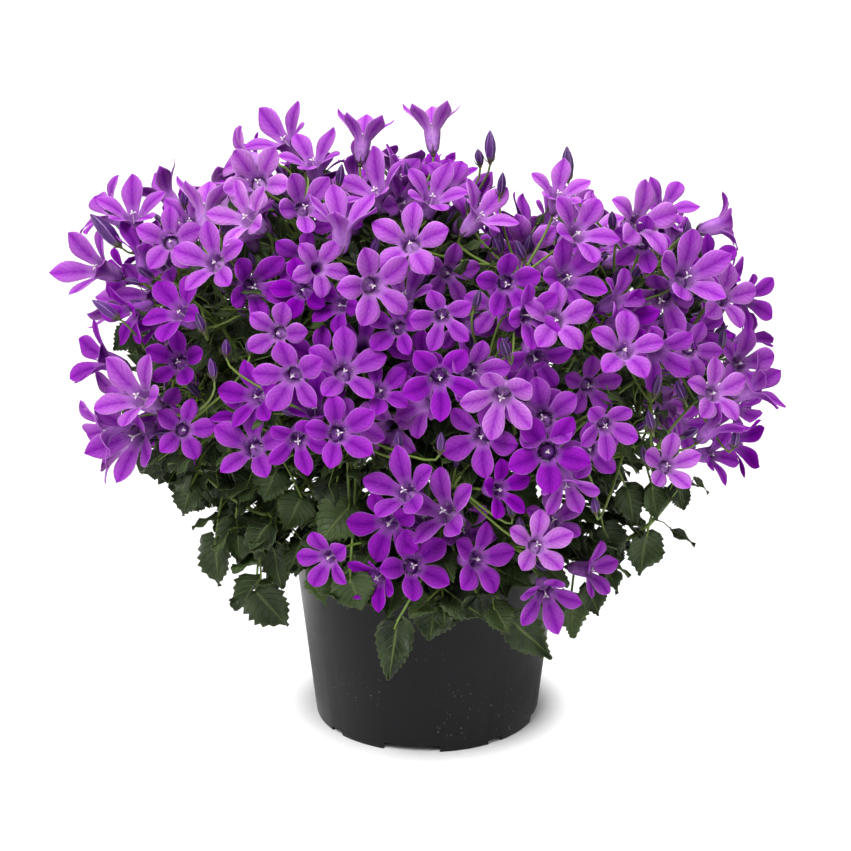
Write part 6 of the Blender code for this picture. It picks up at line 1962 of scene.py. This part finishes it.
crumb_shapes = shape_collection("crumbs", [
    crumb_shape("crumb_1", 0.7, 1), crumb_shape("crumb_2", 0.35, 2),
])
crumbs = []
for _ in range(CRUMBS):
    turn = looks.uniform(0.0, math.tau)
    away = (soil_edge - 1.5 * MM) * math.sqrt(looks.random())
    spot = Vector((math.cos(turn) * away, math.sin(turn) * away, SOIL_TOP + 1.2 * MM))
    turned = Matrix.Rotation(looks.uniform(0, math.tau), 3, "Z")
    turned = turned @ Matrix.Rotation(looks.uniform(-0.4, 0.4), 3, "X")
    size = even(looks.uniform(1.2, 4.2) * MM)
    crumbs.append((spot, turned, size, looks.randrange(2), looks.random()))
soil = joined("soil", [soil, shapes_from("crumbs", crumbs, crumb_shapes, soil_finish)])
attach(soil, "root")
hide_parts("root_ball")
print("soil:", count_of(soil), "triangles")

# %% [markdown]
# ## Floor and light
# The photograph is a catalogue picture: white all round, soft light from above and the left, hardly a
# shadow. A white floor that curves up behind, a bright even surround and three large soft lamps give
# that. The floor also shines by itself, but only to the camera and not under the pot, so it takes no
# light from the shadows of the plant.

# %% Put the patterns away, size the stage
FLOOR_REACH = 9.0
SWEEP_LINE = [(-FLOOR_REACH, 0.0), (1.2, 0.0), (1.6, 0.08), (1.9, 0.35), (2.0, 0.8), (2.0, 2.6)]
LIT_POINT = Vector((0.0, 0.0, 0.15))
LAMPS = [
    ("key_light", (-0.55, -1.15, 1.5), 1.0, 37.0), ("fill_light", (1.3, -1.2, 0.7), 0.8, 5.0),
    ("top_light", (0.15, 0.35, 1.7), 0.9, 26.5),
]
for shapes in all_shapes:
    for ob in list(shapes.objects):
        bpy.data.objects.remove(ob, do_unlink=True)
    bpy.data.collections.remove(shapes)

# %% The floor
floor_finish, tree, shader = new_finish("white_floor", 0.9)
coords = own_coords(tree)
white = blend(tree, grain(tree, coords, 6.0), (0.90, 0.90, 0.90), (0.92, 0.92, 0.92))
tree.links.new(white, shader.inputs["Base Color"])
shader.inputs["Specular IOR Level"].default_value = 0.0
shine = add_node(tree, "ShaderNodeEmission")
tree.links.new(white, shine.inputs["Color"])
shine.inputs["Strength"].default_value = 1.4
paths = add_node(tree, "ShaderNodeLightPath")
far = add_node(tree, "ShaderNodeVectorMath", operation="LENGTH")
tree.links.new(coords, far.inputs[0])
share = times(tree, fade(tree, far.outputs["Value"], 0.050, 0.074), 0.84)
both = add_node(tree, "ShaderNodeMixShader")
tree.links.new(times(tree, paths.outputs["Is Camera Ray"], share), both.inputs[0])
tree.links.new(shader.outputs["BSDF"], both.inputs[1])
tree.links.new(shine.outputs["Emission"], both.inputs[2])
tree.links.new(both.outputs["Shader"], tree.nodes["Material Output"].inputs["Surface"])
points = [Vector((side, y, z)) for y, z in SWEEP_LINE for side in (-FLOOR_REACH, FLOOR_REACH)]
floor_mesh = bpy.data.meshes.new("floor")
faces = [[2 * i, 2 * i + 1, 2 * i + 3, 2 * i + 2] for i in range(len(SWEEP_LINE) - 1)]
floor_mesh.from_pydata(points, [], faces)
floor = add_object("floor", floor_mesh)
floor.data.materials.append(floor_finish)
for polygon in floor.data.polygons:
    polygon.use_smooth = True
floor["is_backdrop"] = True

# %% The lamps and the surround
for name, place, size, power in LAMPS:
    light = bpy.data.lights.new(name, "AREA")
    light.size = size
    light.energy = power
    lamp = add_object(name, light)
    lamp.location = place
    lamp.rotation_euler = (LIT_POINT - Vector(place)).to_track_quat("-Z", "Y").to_euler()
world = bpy.data.worlds.new("surround")
world.use_nodes = True
background = world.node_tree.nodes["Background"]
background.inputs["Color"].default_value = (1.0, 1.0, 1.0, 1.0)
background.inputs["Strength"].default_value = 0.16
scene.world = world
scene.view_settings.view_transform = "Standard"
print("lamps:", [lamp[0] for lamp in LAMPS])

# %% [markdown]
# ## The last measure
# The dressed plant must fill the room of its solids and not much more, so both sizes are printed.

# %% Print the sizes and finish
last_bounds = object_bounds()
sizes = {"solids": [list(p) for p in first_bounds], "dressed": [list(p) for p in last_bounds]}
for word, (low, high) in sizes.items():
    span = [round((b - a) * 1000, 1) for a, b in zip(low, high)]
    print(word, span, "mm from", [round(a * 1000, 1) for a in low])
